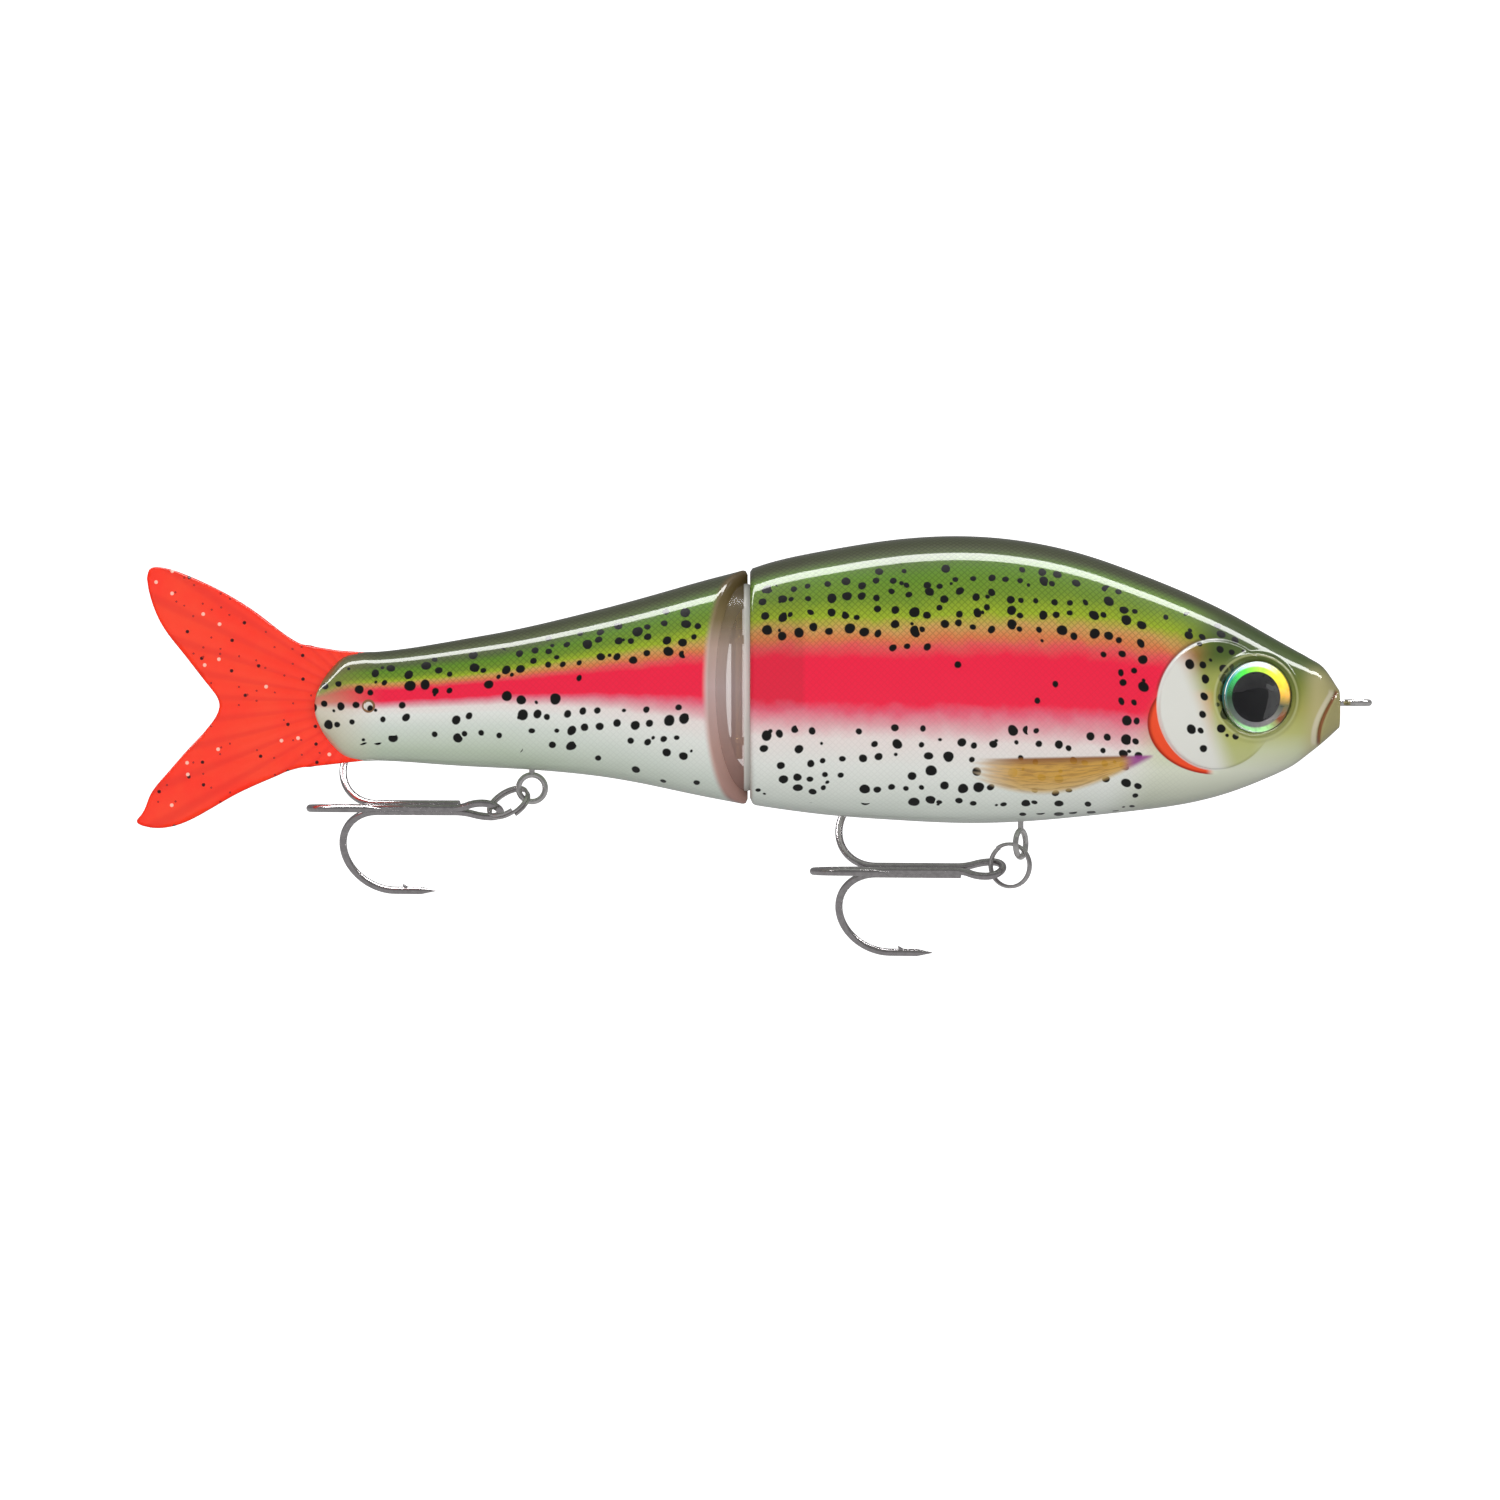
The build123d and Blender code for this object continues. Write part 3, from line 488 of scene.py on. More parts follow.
def spot_density(n, x, band):
    """How likely a spot is at a place: thick in the green, thin in the pink, none on the back and belly."""
    green = n.times(n.smooth(band, 0.8, 1.5), n.smooth(band, 4.6, 4.1))
    belly = n.times(n.smooth(band, -1.4, -2.0), n.smooth(band, -4.4, -4.0))
    rear = n.smooth(x, -83.0, -86.0)
    near_gill = n.smooth(x, -38.0, -31.0)
    pink_low, pink_high = n.smooth(band, -4.0, -1.0), n.smooth(band, 2.4, 0.9)
    in_pink = n.times(n.times(pink_low, pink_high), n.plus(0.04, near_gill))
    near_tail = n.smooth(x, -96.0, -118.0, 0.12, 0.95)
    on_flank = n.times(n.smooth(band, -7.0, -5.8), n.smooth(band, 4.8, 4.2))
    in_rear = n.times(on_flank, rear)
    in_rear = n.times(in_rear, n.math("MAXIMUM", near_tail, n.math("MAXIMUM", green, belly)))
    total = n.math("MAXIMUM", n.math("MAXIMUM", green, n.times(belly, 0.62)), in_pink)
    total = n.math("MAXIMUM", total, n.times(in_rear, 0.7))
    off_knuckle = n.smooth(n.math("ABSOLUTE", n.plus(x, 84.2)), 3.2, 3.9)
    behind_gill = n.smooth(x, -27.9, -28.9)
    over_gill = n.times(n.smooth(band, 2.1, 2.9), n.smooth(x, -16.0, -18.5))
    total = n.times(total, n.times(off_knuckle, n.math("MAXIMUM", behind_gill, over_gill)))
    cheek = n.times(n.smooth(x, -24.2, -23.2), n.smooth(x, -15.4, -16.6))
    cheek = n.times(cheek, n.times(n.smooth(band, -2.4, -1.6), n.smooth(band, 4.4, 3.8)))
    return n.math("MAXIMUM", total, cheek)


# The gill plate's ellipse, and how the red crescent's ellipse behind it differs, in millimetres.
GILL_X, GILL_Z, GILL_A, GILL_B = -19.3, -0.3, 8.0, 8.6
CRESCENT_LOWER, CRESCENT_WIDER, CRESCENT_SHORTER = 2.4, 1.3, 1.75


def ellipse_value(n, x, z, centre_x, centre_z, a, b):
    dx = n.math("DIVIDE", n.minus(x, centre_x), a)
    dz = n.math("DIVIDE", n.minus(z, centre_z), b)
    return n.math("SQRT", n.plus(n.times(dx, dx), n.times(dz, dz)))


def gill(n, colour, x, z):
    """White gill plate with an orange-red crescent behind it, a painted highlight on the plate's rear edge and a
    painted shadow just outside it.
    """
    plate = ellipse_value(n, x, z, GILL_X, GILL_Z, GILL_A, GILL_B)
    crescent = ellipse_value(
        n, x, z, GILL_X, GILL_Z - CRESCENT_LOWER, GILL_A + CRESCENT_WIDER, GILL_B - CRESCENT_SHORTER
    )
    red = n.times(n.smooth(crescent, 1.012, 0.99), n.smooth(x, -19.4, -20.8))
    red = n.times(red, n.smooth(z, 2.0, 0.8))
    glow = n.mix(n.smooth(crescent, 1.0, 0.93), linear(168, 34, 14), linear(252, 82, 40))
    colour = n.mix(red, colour, glow)
    slant = n.plus(x, n.times(z, 0.386))
    inside = n.smooth(plate, 1.0, 0.985)
    cheek = n.times(n.times(inside, n.smooth(x, -11.5, -15.0)), n.smooth(z, 6.5, 2.5))
    colour = n.mix(n.times(cheek, 0.7), colour, linear(186, 190, 104))
    white = n.times(inside, n.smooth(slant, -19.3, -23.1))
    white = n.times(white, n.smooth(z, 7.8, 4.6, 0.45, 1.0))
    colour = n.mix(white, colour, linear(236, 236, 228))
    # Painted highlight: a thin pale line along the rear part of the raised plate's edge.
    edge = n.times(n.smooth(plate, 1.025, 1.0), n.smooth(plate, 0.955, 0.985))
    edge = n.times(edge, n.smooth(x, -17.5, -20.0))
    colour = n.mix(n.times(edge, 0.85), colour, linear(248, 250, 244))
    shadow = n.times(n.smooth(plate, 1.0, 1.012), n.smooth(plate, 1.07, 1.02))
    shadow = n.times(shadow, n.times(n.smooth(x, -19.0, -21.5), n.smooth(z, 0.5, 2.5)))
    return n.mix(n.times(shadow, 0.55), colour, linear(70, 34, 26))


# The painted pectoral fin, in millimetres: its root, its length, its upper edge and its depth.
FIN_ROOT_X, FIN_LENGTH, FIN_TOP_Z, FIN_DEPTH = -27.5, 24.0, -7.0, 4.7


def fin(n, colour, x, z):
    """Pectoral fin: straight top edge, bulging belly below, rays fanning back from a purple root."""
    run = n.math("DIVIDE", n.minus(FIN_ROOT_X, x), FIN_LENGTH)
    inside_run = n.math("MINIMUM", n.math("MAXIMUM", run, 0.0), 1.1)
    top = n.plus(FIN_TOP_Z, n.times(inside_run, -0.5))
    deep = n.times(n.math("SINE", n.times(inside_run, 2.58)), FIN_DEPTH)
    below = n.minus(top, z)
    ray = n.math("DIVIDE", below, n.plus(deep, 0.1))
    ragged = n.times(n.math("SINE", n.times(ray, 26.0)), 0.022)
    inside = n.times(n.smooth(below, -0.2, 0.2), n.smooth(n.minus(deep, below), -0.4, 0.5))
    inside = n.times(inside, n.smooth(n.plus(run, ragged), 1.02, 0.88))
    inside = n.times(inside, n.smooth(run, 0.0, 0.03))
    grain = n.add("ShaderNodeCombineXYZ")
    n.link(n.times(run, 5.0), grain.inputs[0])
    n.link(n.times(ray, 9.0), grain.inputs[1])
    streaks = n.noise(grain.outputs[0], 1.6, 3.0)
    tone = n.mix(n.smooth(ray, 0.02, 0.30), linear(150, 92, 34), linear(216, 164, 62))
    tone = n.mix(n.smooth(ray, 0.5, 1.05), tone, linear(222, 190, 128))
    tone = n.mix(n.smooth(streaks, 0.45, 0.62, 0.0, 0.5), tone, linear(146, 96, 34))
    tone = n.mix(n.smooth(run, 0.72, 1.0, 0.0, 0.7), tone, linear(230, 214, 190))
    tone = n.mix(n.smooth(run, 0.2, 0.1), tone, linear(164, 74, 150))
    return n.mix(n.times(inside, 0.95), colour, tone)


def face(n, colour, x, z):
    """The eye's painted lid with a painted highlight on its raised rim, the snout, and the lips with a painted
    highlight just behind the crease.
    """
    eye = ellipse_value(n, x, z, EYE.x / MM, EYE.z / MM, 1.0, 1.0)
    outside = n.smooth(eye, 3.0, 4.0)
    lid = n.times(n.smooth(eye, 5.75, 5.45), outside)
    colour = n.mix(n.times(lid, 0.5), colour, linear(84, 92, 44))
    # Painted highlight: a pale line along the crest of the raised rim round the eye.
    line = n.times(n.smooth(eye, 5.85, 5.65), n.smooth(eye, 5.35, 5.55))
    colour = n.mix(n.times(line, 0.55), colour, linear(206, 210, 150))
    snout = n.times(n.smooth(x, -8.6, -5.6), n.smooth(z, 6.2, 2.5))
    colour = n.mix(n.times(snout, 0.75), colour, linear(204, 192, 142))
    offset = n.minus(x, mouth_line(n, z))
    over, under = n.smooth(z, -6.0, -5.2), n.smooth(z, 1.9, 1.2)
    tall = n.times(over, under)
    lip = n.times(n.times(n.smooth(offset, 0.0, 0.2), n.smooth(z, 2.4, 1.0)), over)
    colour = n.mix(n.times(lip, 0.8), colour, linear(172, 164, 112))
    shine = n.times(n.smooth(offset, -1.3, -0.9), n.smooth(offset, -0.2, -0.6))
    colour = n.mix(n.times(n.times(shine, tall), 0.75), colour, linear(230, 222, 196))
    crease = n.times(n.smooth(n.math("ABSOLUTE", offset), 0.42, 0.12), tall)
    return n.mix(n.times(crease, 0.9), colour, linear(136, 72, 34))


# The mouth's crease in the side view: x at the lips, how far it bows back, how fast, its top and its height.
MOUTH_FRONT, MOUTH_BOW, MOUTH_TURN, MOUTH_TOP, MOUTH_HEIGHT = -3.04, 2.4, 1.73, 1.24, 6.4


def mouth_line(n, z):
    """The mouth's crease: x against height, bowed back below the lips."""
    t = n.math("DIVIDE", n.minus(MOUTH_TOP, z), MOUTH_HEIGHT)
    t = n.math("MINIMUM", n.math("MAXIMUM", t, 0.0), 1.1)
    bow = n.times(n.math("SINE", n.times(t, MOUTH_TURN)), MOUTH_BOW)
    return n.minus(MOUTH_FRONT, bow)


# ---------------------------------------------------------------- body skins
def skin_arc(y, z):
    """Length over the skin of each ring, in millimetres from mid flank, upwards."""
    dy = np.diff(y, axis=1)
    dz = np.diff(z, axis=1)
    run = np.concatenate([np.zeros((len(y), 1)), np.cumsum(np.hypot(dy, dz), axis=1)], axis=1)
    count = y.shape[1]
    out = np.empty_like(run)
    quarter, half = count // 4, count // 2
    for j in range(count):
        if j <= half:
            out[:, j] = run[:, quarter] - run[:, j]
        else:
            out[:, j] = run[:, j] - run[:, count - quarter]
    return out / MM


# The pink band's middle and half width as shares of the body's depth, at places along it in millimetres.
BAND_X = [-139.0, -114.0, -98.0, -86.0, -81.0, -61.0, -45.0, -27.0]
BAND_MIDDLE = [0.600, 0.592, 0.560, 0.545, 0.540, 0.503, 0.510, 0.526]
BAND_WIDTH = [0.062, 0.060, 0.083, 0.100, 0.117, 0.104, 0.112, 0.132]


def band_values(x, z, top, bottom):
    """Share of the body's depth, the paint's band coordinate, and how fast each changes per millimetre."""
    share = (z - bottom) / (top - bottom)
    middle = np.interp(x / MM, BAND_X, BAND_MIDDLE)
    width = np.interp(x / MM, BAND_X, BAND_WIDTH)
    share_rate = MM / (top - bottom)
    return share, np.clip((share - middle) / width, -7.9, 7.9), share_rate, share_rate / width


def paint_maps(piece, outline_at, arc):
    """The places on the skin that the paint is laid out by."""
    points = np.array([vert.co for vert in piece.data.vertices])
    x, z = points[:, 0], points[:, 2]
    top, bottom, _ = outline_at(x)
    share, band, share_rate, band_rate = band_values(x, z, top, bottom)
    add_uv(piece, "skin", x / MM, arc)
    add_uv(piece, "band", share, band)
    add_number(piece, "share_rate", share_rate)
    add_number(piece, "band_rate", band_rate)


# Millimetres that features of the skin rise or sink.
PLATE_RISE, HOLLOW_SINK, RIM_RISE, SOCKET_SINK, CREASE_SINK = 0.42, 0.32, 0.28, 2.4, 0.30
SEAM_SINK, SEAM_HALF = 0.07, 0.12


def front_relief(x, y, z):
    """How far the skin stands proud, in metres, at the gill plate, the eye, the mouth and the seam."""
    px, pz = x / MM, z / MM
    flank = step(np.abs(y) / MM, 0.6, 1.6)
    plate = np.hypot((px - GILL_X) / GILL_A, (pz - GILL_Z) / GILL_B)
    raised = PLATE_RISE * step(1.0 - plate, 0.0, 0.05) * step(-px, 10.0, 21.0)
    across, down = (px - GILL_X) / (GILL_A + CRESCENT_WIDER), pz - GILL_Z + CRESCENT_LOWER
    crescent = np.hypot(across, down / (GILL_B - CRESCENT_SHORTER))
    hollow = -HOLLOW_SINK * step(1.0 - crescent, 0.0, 0.06) * step(plate, 0.985, 1.0) * step(-px, 18.5, 21.0)
    eye = np.hypot(px - EYE.x / MM, pz - EYE.z / MM)
    rim = RIM_RISE * step(6.2 - eye, 0.0, 0.7) * step(eye, 4.8, 5.2)
    socket = -SOCKET_SINK * step(4.86 - eye, 0.0, 0.14)
    line = MOUTH_FRONT - MOUTH_BOW * np.sin(MOUTH_TURN * np.clip((MOUTH_TOP - pz) / MOUTH_HEIGHT, 0, 1.1))
    mouth = -CREASE_SINK * np.exp(-(((px - line) / 0.26) ** 2)) * step(pz, -5.9, -5.2) * step(2.0 - pz, 0, 0.7)
    seam = -SEAM_SINK * np.exp(-((y / MM / SEAM_HALF) ** 2))
    return ((raised + hollow + rim + socket + mouth) * flank + seam) * MM


# Rings of the front section: even ones up to a share of its length, then closer ones towards the nose.
FRONT_COLUMNS, EVEN_RINGS, CLOSE_RINGS, EVEN_SHARE, CROWDING = 384, 150, 190, 0.62, 1.35
NOSE_RINGS, SOCKET_RINGS = 10, 26
NOSE_DOME = 0.05 * MM


def front_skin(paint):
    """The front section's skin from the mouth of the socket to the nose, with the socket's wall inside."""
    columns = FRONT_COLUMNS
    angle = np.arange(columns) * 2 * math.pi / columns
    side, rise = oval(angle)
    length = NOSE_X - MOUTH_X
    close = (1 - EVEN_SHARE) * np.linspace(1, 0, CLOSE_RINGS)[1:] ** CROWDING
    shares = np.concatenate([np.linspace(0, EVEN_SHARE, EVEN_RINGS), 1 - close])
    xs = MOUTH_X + length * shares
    top, bottom, half_width = (v[:, None] for v in FRONT.at(xs))
    middle, half = (top + bottom) / 2, (top - bottom) / 2
    x = np.repeat(xs[:, None], columns, axis=1)
    # The rear edge is broken by a small radius.
    round_edge = (0.35 + 0.5 * step(-np.cos(angle), 0.2, 0.9)) * MM
    edge = np.minimum(1, (x - MOUTH_X) / round_edge)
    shrink = (1 - np.sqrt(1 - (1 - edge) ** 2)) * round_edge
    y = side * (half_width - shrink)
    z = middle + rise * (half - shrink)
    arc = skin_arc(y, z)
    relief = front_relief(x, y, z)
    away = np.stack([y / half_width**2, (z - middle) / half**2])
    away /= np.maximum(np.hypot(*away), 1e-9)
    y = y + away[0] * relief
    z = z + away[1] * relief
    points = [np.stack([x, y, z], axis=-1).reshape(-1, 3)]
    # The nose closes over a blunt dome.
    for k in range(1, NOSE_RINGS + 1):
        turn = math.pi / 2 * k / NOSE_RINGS
        share = math.cos(turn)
        ring_x = NOSE_X + NOSE_DOME * math.sin(turn)
        ring_z = middle[-1] + (z[-1] - middle[-1]) * share
        points.append(np.stack([np.full(columns, ring_x), y[-1] * share, ring_z], axis=-1))
    total = np.concatenate(points)
    faces = [grid_faces(len(xs) + NOSE_RINGS, columns)]
    # Rim and socket wall, ring by ring inward from the mouth.
    ahead = MOUTH_X - HINGE_X
    mouth_width = half_width[0, 0] - RIM
    socket = math.hypot(mouth_width, ahead)
    tall = half[0, 0] - RIM
    inner = []
    for reach in np.linspace(ahead, socket * 0.97, SOCKET_RINGS):
        scale = math.sqrt(1 - (reach / socket) ** 2)
        ring_y = -np.sin(angle) * socket * scale
        ring_z = middle[0, 0] + np.cos(angle) * tall * scale
        inner.append(np.stack([np.full(columns, HINGE_X + reach), ring_y, ring_z], axis=-1))
    lip = 0.5 * (inner[0] + total[:columns])
    lip[:, 0] = MOUTH_X
    start = len(total)
    total = np.concatenate([total, lip, *inner])
    link = np.arange(columns)
    after = np.roll(link, -1)
    faces.append(np.stack([link, start + link, start + after, after], axis=-1))
    faces.append(grid_faces(1 + len(inner), columns) + start)
    piece = mesh_object("front_section_skin", total, np.concatenate(faces), paint)
    from_middle = (total[:, 2] - middle[0, 0]) / MM
    arc = np.append(arc.ravel(), from_middle[arc.size :])
    paint_maps(piece, lambda x: FRONT.at(np.clip(x, MOUTH_X, NOSE_X)), arc)
    turn_outward(piece)
    return piece


SLOT_HALF, SLOT_DEPTH = 1.3 * MM, 5 * MM
REAR_COLUMNS, REAR_RINGS = 320, 230


def rear_skin(paint):
    """The rear section's painted skin, from its shoulders to its round end, with the slot for the tail."""
    columns = REAR_COLUMNS
    angle = (np.arange(columns) + 0.5) * 2 * math.pi / columns
    side, rise = oval(angle)
    start = np.full(columns, HINGE_X)
    finish = np.full(columns, BODY_END)
    for _ in range(12):
        _, _, half_width = REAR.at(start)
        start = HINGE_X + (SHOULDER - math.sin(SWING) * np.abs(side) * half_width) / math.cos(SWING)
        start = np.minimum(start, HINGE_X + SHOULDER)
        top, bottom, _ = REAR.at(finish)
        z = (top + bottom) / 2 + rise * (top - bottom) / 2
        finish = PIN.x - np.sqrt(np.maximum(END_ROUND**2 - np.minimum(np.abs(z - PIN.z), END_ROUND) ** 2, 0))
    share = np.linspace(0, 1, REAR_RINGS)[:, None]
    x = start * (1 - share) + finish * share
    top, bottom, half_width = REAR.at(x)
    middle, half = (top + bottom) / 2, (top - bottom) / 2

    def broken(distance, soft):
        near = np.clip(distance / soft, 0, 1)
        return (1 - np.sqrt(1 - (1 - near) ** 2)) * soft

    shrink = broken(start - x, 0.8 * MM) + broken(x - finish, 0.4 * MM)
    seam = SEAM_SINK * MM
    y = side * (half_width - shrink)
    z = middle + rise * (half - shrink - seam * np.exp(-((y / (SEAM_HALF * MM)) ** 2)))
    arc = skin_arc(y, z)
    rows = [np.stack([x[k], y[k], z[k]], axis=-1) for k in range(REAR_RINGS)]
    # Shoulders run in over the knuckle.
    shoulders = []
    for share_in in (0.97, 0.9, 0.8, 0.66):
        ring_y = y[0] * share_in
        ring_z = middle[0] + (z[0] - middle[0]) * (1 - (1 - share_in) * 0.8)
        ring_x = HINGE_X + (SHOULDER - math.sin(SWING) * np.abs(ring_y)) / math.cos(SWING)
        ring_x = np.minimum(ring_x, HINGE_X + SHOULDER)
        shoulders.append(np.stack([ring_x, ring_y, ring_z], axis=-1))
    # The end wall runs in to the slot.
    slot = SLOT_HALF
    ends = []
    for share_in in (0.9, 0.6, 0.0):
        ring_y = np.sign(y[-1]) * np.minimum(np.abs(y[-1]), slot + (np.abs(y[-1]) - slot) * share_in)
        ends.append(np.stack([x[-1], ring_y, z[-1]], axis=-1))
    deep = ends[-1].copy()
    deep[:, 0] += SLOT_DEPTH
    all_rows = shoulders[::-1] + rows + ends + [deep]
    total = np.concatenate(all_rows)
    piece = mesh_object("rear_section_skin", total, grid_faces(len(all_rows), columns), paint)
    ahead, behind = np.repeat(arc[:1], len(shoulders), axis=0), np.repeat(arc[-1:], len(ends) + 1, axis=0)
    arc = np.concatenate([ahead, arc, behind])
    paint_maps(piece, lambda x: REAR.at(np.clip(x, BODY_END, HINGE_X + SHOULDER)), arc.ravel())
    turn_outward(piece)
    return piece


def smoke(n, height):
    """Unpainted smoky plastic: olive brown at the top, mauve grey in the middle, warmer below."""
    return n.ramp(
        n.math("DIVIDE", n.plus(height, 14.0), 32.0),
        [
            (0.0, linear(176, 132, 122)),
            (0.25, linear(204, 166, 156)),
            (0.5, linear(222, 198, 194)),
            (0.66, linear(214, 190, 176)),
            (0.78, linear(150, 132, 96)),
            (0.88, linear(118, 100, 62)),
            (1.0, linear(100, 82, 50)),
        ],
    )


RIM_BAND = -0.8  # where the pale edge of the knuckle starts, from the front section's mouth


def smoky_plastic():
    n = Nodes("smoky_knuckle")
    _, x, _, z = n.place()
    from_mouth = n.minus(n.math("DIVIDE", x, MM), MOUTH_X / MM)
    edge = n.smooth(from_mouth, RIM_BAND - 0.1, RIM_BAND + 0.1)
    colour = n.mix(edge, smoke(n, n.math("DIVIDE", z, MM)), linear(222, 220, 214))
    n.link(colour, n.shader.inputs["Base Color"])
    n.link(n.plus(0.5, n.times(edge, 0.5)), n.shader.inputs["Alpha"])
    n.set(roughness=0.5, coat_weight=0.5, coat_roughness=0.15, coat_ior=1.3)
    n.shader.inputs["Specular IOR Level"].default_value = 0.15
    return n.material


def knuckle(material):
    """The clear round front of the rear section, which turns in the front section's socket."""
    top, bottom, _ = REAR.at(np.array([HINGE_X]))
    _, _, mouth_width = FRONT.at(np.array([MOUTH_X]))
    ahead = MOUTH_X - HINGE_X
    middle = float(top[0] + bottom[0]) / 2
    wide = math.hypot(float(mouth_width[0]) - RIM, ahead) - KNUCKLE_GAP
    tall = float(top[0] - bottom[0]) / 2 - RIM - KNUCKLE_GAP
    rows, columns = 64, 128
    polar = np.linspace(0.001, math.pi - 0.001, rows)[:, None]
    angle = np.arange(columns) * 2 * math.pi / columns
    x = HINGE_X + wide * np.sin(polar) * np.cos(angle)
    y = wide * np.sin(polar) * np.sin(angle)
    z = middle + tall * np.cos(polar) * np.ones(columns)
    points = np.stack([x, y, z], axis=-1).reshape(-1, 3)
    piece = mesh_object("knuckle_skin", points, grid_faces(rows, columns), material)
    turn_outward(piece)
    return piece


# ---------------------------------------------------------------- the soft tail
# The fin's rays fan out from a point on the middle line, in millimetres.
RAY_CENTRE_X, RAY_START_X, RAY_FADE = -131.0, -141.0, 6.0
RAY_RATE = 46.0
RAY_DEPTH = 0.05 * MM
TAIL_VOXEL = 0.26 * MM


def tail_material():
    n = Nodes("soft_tail")
    _, u, v = n.uv("flat")
    flat = n.add("ShaderNodeCombineXYZ")
    n.link(u, flat.inputs[0])
    n.link(v, flat.inputs[1])
    tone = n.noise(flat.outputs[0], 0.12, 4.0)
    colour = n.mix(n.smooth(tone, 0.3, 0.7), linear(255, 40, 8), linear(255, 58, 22))
    ray = n.math("ARCTAN2", v, n.minus(RAY_CENTRE_X, u))
    lines = n.math("SINE", n.times(ray, RAY_RATE))
    colour = n.mix(n.smooth(lines, 0.3, 1.0, 0.0, 0.35), colour, linear(214, 28, 10))
    for spacing, chance, radius, shade, seed in (
        (1.9, 0.16, 0.24, linear(66, 10, 6), 0.0),
        (2.1, 0.16, 0.24, linear(255, 190, 170), 11.0),
        (1.2, 0.14, 0.15, linear(170, 24, 12), 23.0),
    ):
        move = n.add("ShaderNodeVectorMath", operation="ADD")
        n.link(flat.outputs[0], move.inputs[0])
        move.inputs[1].default_value = (seed, seed, 0)
        cell = n.voronoi(move.outputs[0], 1 / spacing)
        dice = n.add("ShaderNodeSeparateColor")
        n.link(cell.outputs["Color"], dice.inputs[0])
        dot = n.smooth(n.times(cell.outputs["Distance"], spacing), radius + 0.05, radius - 0.05)
        colour = n.mix(n.times(dot, n.math("LESS_THAN", dice.outputs[0], chance)), colour, shade)
    n.link(colour, n.shader.inputs["Base Color"])
    n.set(roughness=0.42, coat_weight=0.25, coat_roughness=0.2)
    # Painted light: the tail glows faintly in its own colour, brighter than the lamps alone make it.
    n.link(colour, n.shader.inputs["Emission Color"])
    n.shader.inputs["Emission Strength"].default_value = 0.16
    n.shader.inputs["Specular IOR Level"].default_value = 0.25
    n.bump(lines, 0.35, 0.00008)
    return n.material


BRIDGE_AHEAD, BRIDGE_BEHIND = 1.9 * MM, 0.7 * MM


def soft_tail(material):
    """The whole tail as one soft moulding: the CAD's root and fin, joined and rounded, with fin rays."""
    work = bmesh.new()
    for node in ("tail_root", "tail_fin"):
        work.from_mesh(bpy.data.objects[node].data)
    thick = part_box("tail_root")[1][1]
    for vert in bmesh.ops.create_cube(work, size=1.0)["verts"]:
        node, x = ("tail_fin", FLEX_X - BRIDGE_BEHIND)
        if vert.co.x > 0:
            node, x = ("tail_root", FLEX_X + BRIDGE_AHEAD)
        rise = math.copysign(1.0, vert.co.z)
        edge = hit(tree_of(node), (x, 0, rise * OUTSIDE), (0, 0, -rise)).z
        vert.co = (x, vert.co.y * 2 * thick * 0.98, edge - rise * 0.1 * MM)
    mesh = bpy.data.meshes.new("soft_tail_skin")
    work.to_mesh(mesh)
    work.free()
    piece = bpy.data.objects.new("soft_tail_skin", mesh)
    bpy.context.scene.collection.objects.link(piece)
    remesh = piece.modifiers.new("remesh", "REMESH")
    remesh.mode = "VOXEL"
    remesh.voxel_size = TAIL_VOXEL
    relax = piece.modifiers.new("relax", "SMOOTH")
    relax.factor = 0.5
    relax.iterations = 6
    shaped = bpy.data.meshes.new_from_object(piece.evaluated_get(bpy.context.evaluated_depsgraph_get()))
    piece.modifiers.clear()
    piece.data = shaped
    shaped.materials.clear()
    shaped.materials.append(material)
    shaped.polygons.foreach_set("use_smooth", [True] * len(shaped.polygons))
    for vert in shaped.vertices:
        x, y, z = vert.co.x / MM, vert.co.y, vert.co.z / MM
        ray = math.atan2(z, RAY_CENTRE_X - x)
        depth = RAY_DEPTH * min(1.0, max(0.0, (RAY_START_X - x) / RAY_FADE))
        vert.co.y = y - math.copysign(depth * (0.5 - 0.5 * math.cos(ray * RAY_RATE)), y)
    points = np.array([v.co for v in shaped.vertices])
    add_uv(piece, "flat", points[:, 0] / MM, points[:, 2] / MM)
    return piece


# ---------------------------------------------------------------- eyes
def eye_normal(side):
    return Vector((math.sin(EYE_TILT), side * math.cos(EYE_TILT), 0))


# Radii in millimetres between which each ring of the eye gives way to the next.
PUPIL, INNER_RING, DARK_RIM = (3.36, 3.24), (3.85, 4.1), (4.5, 4.75)


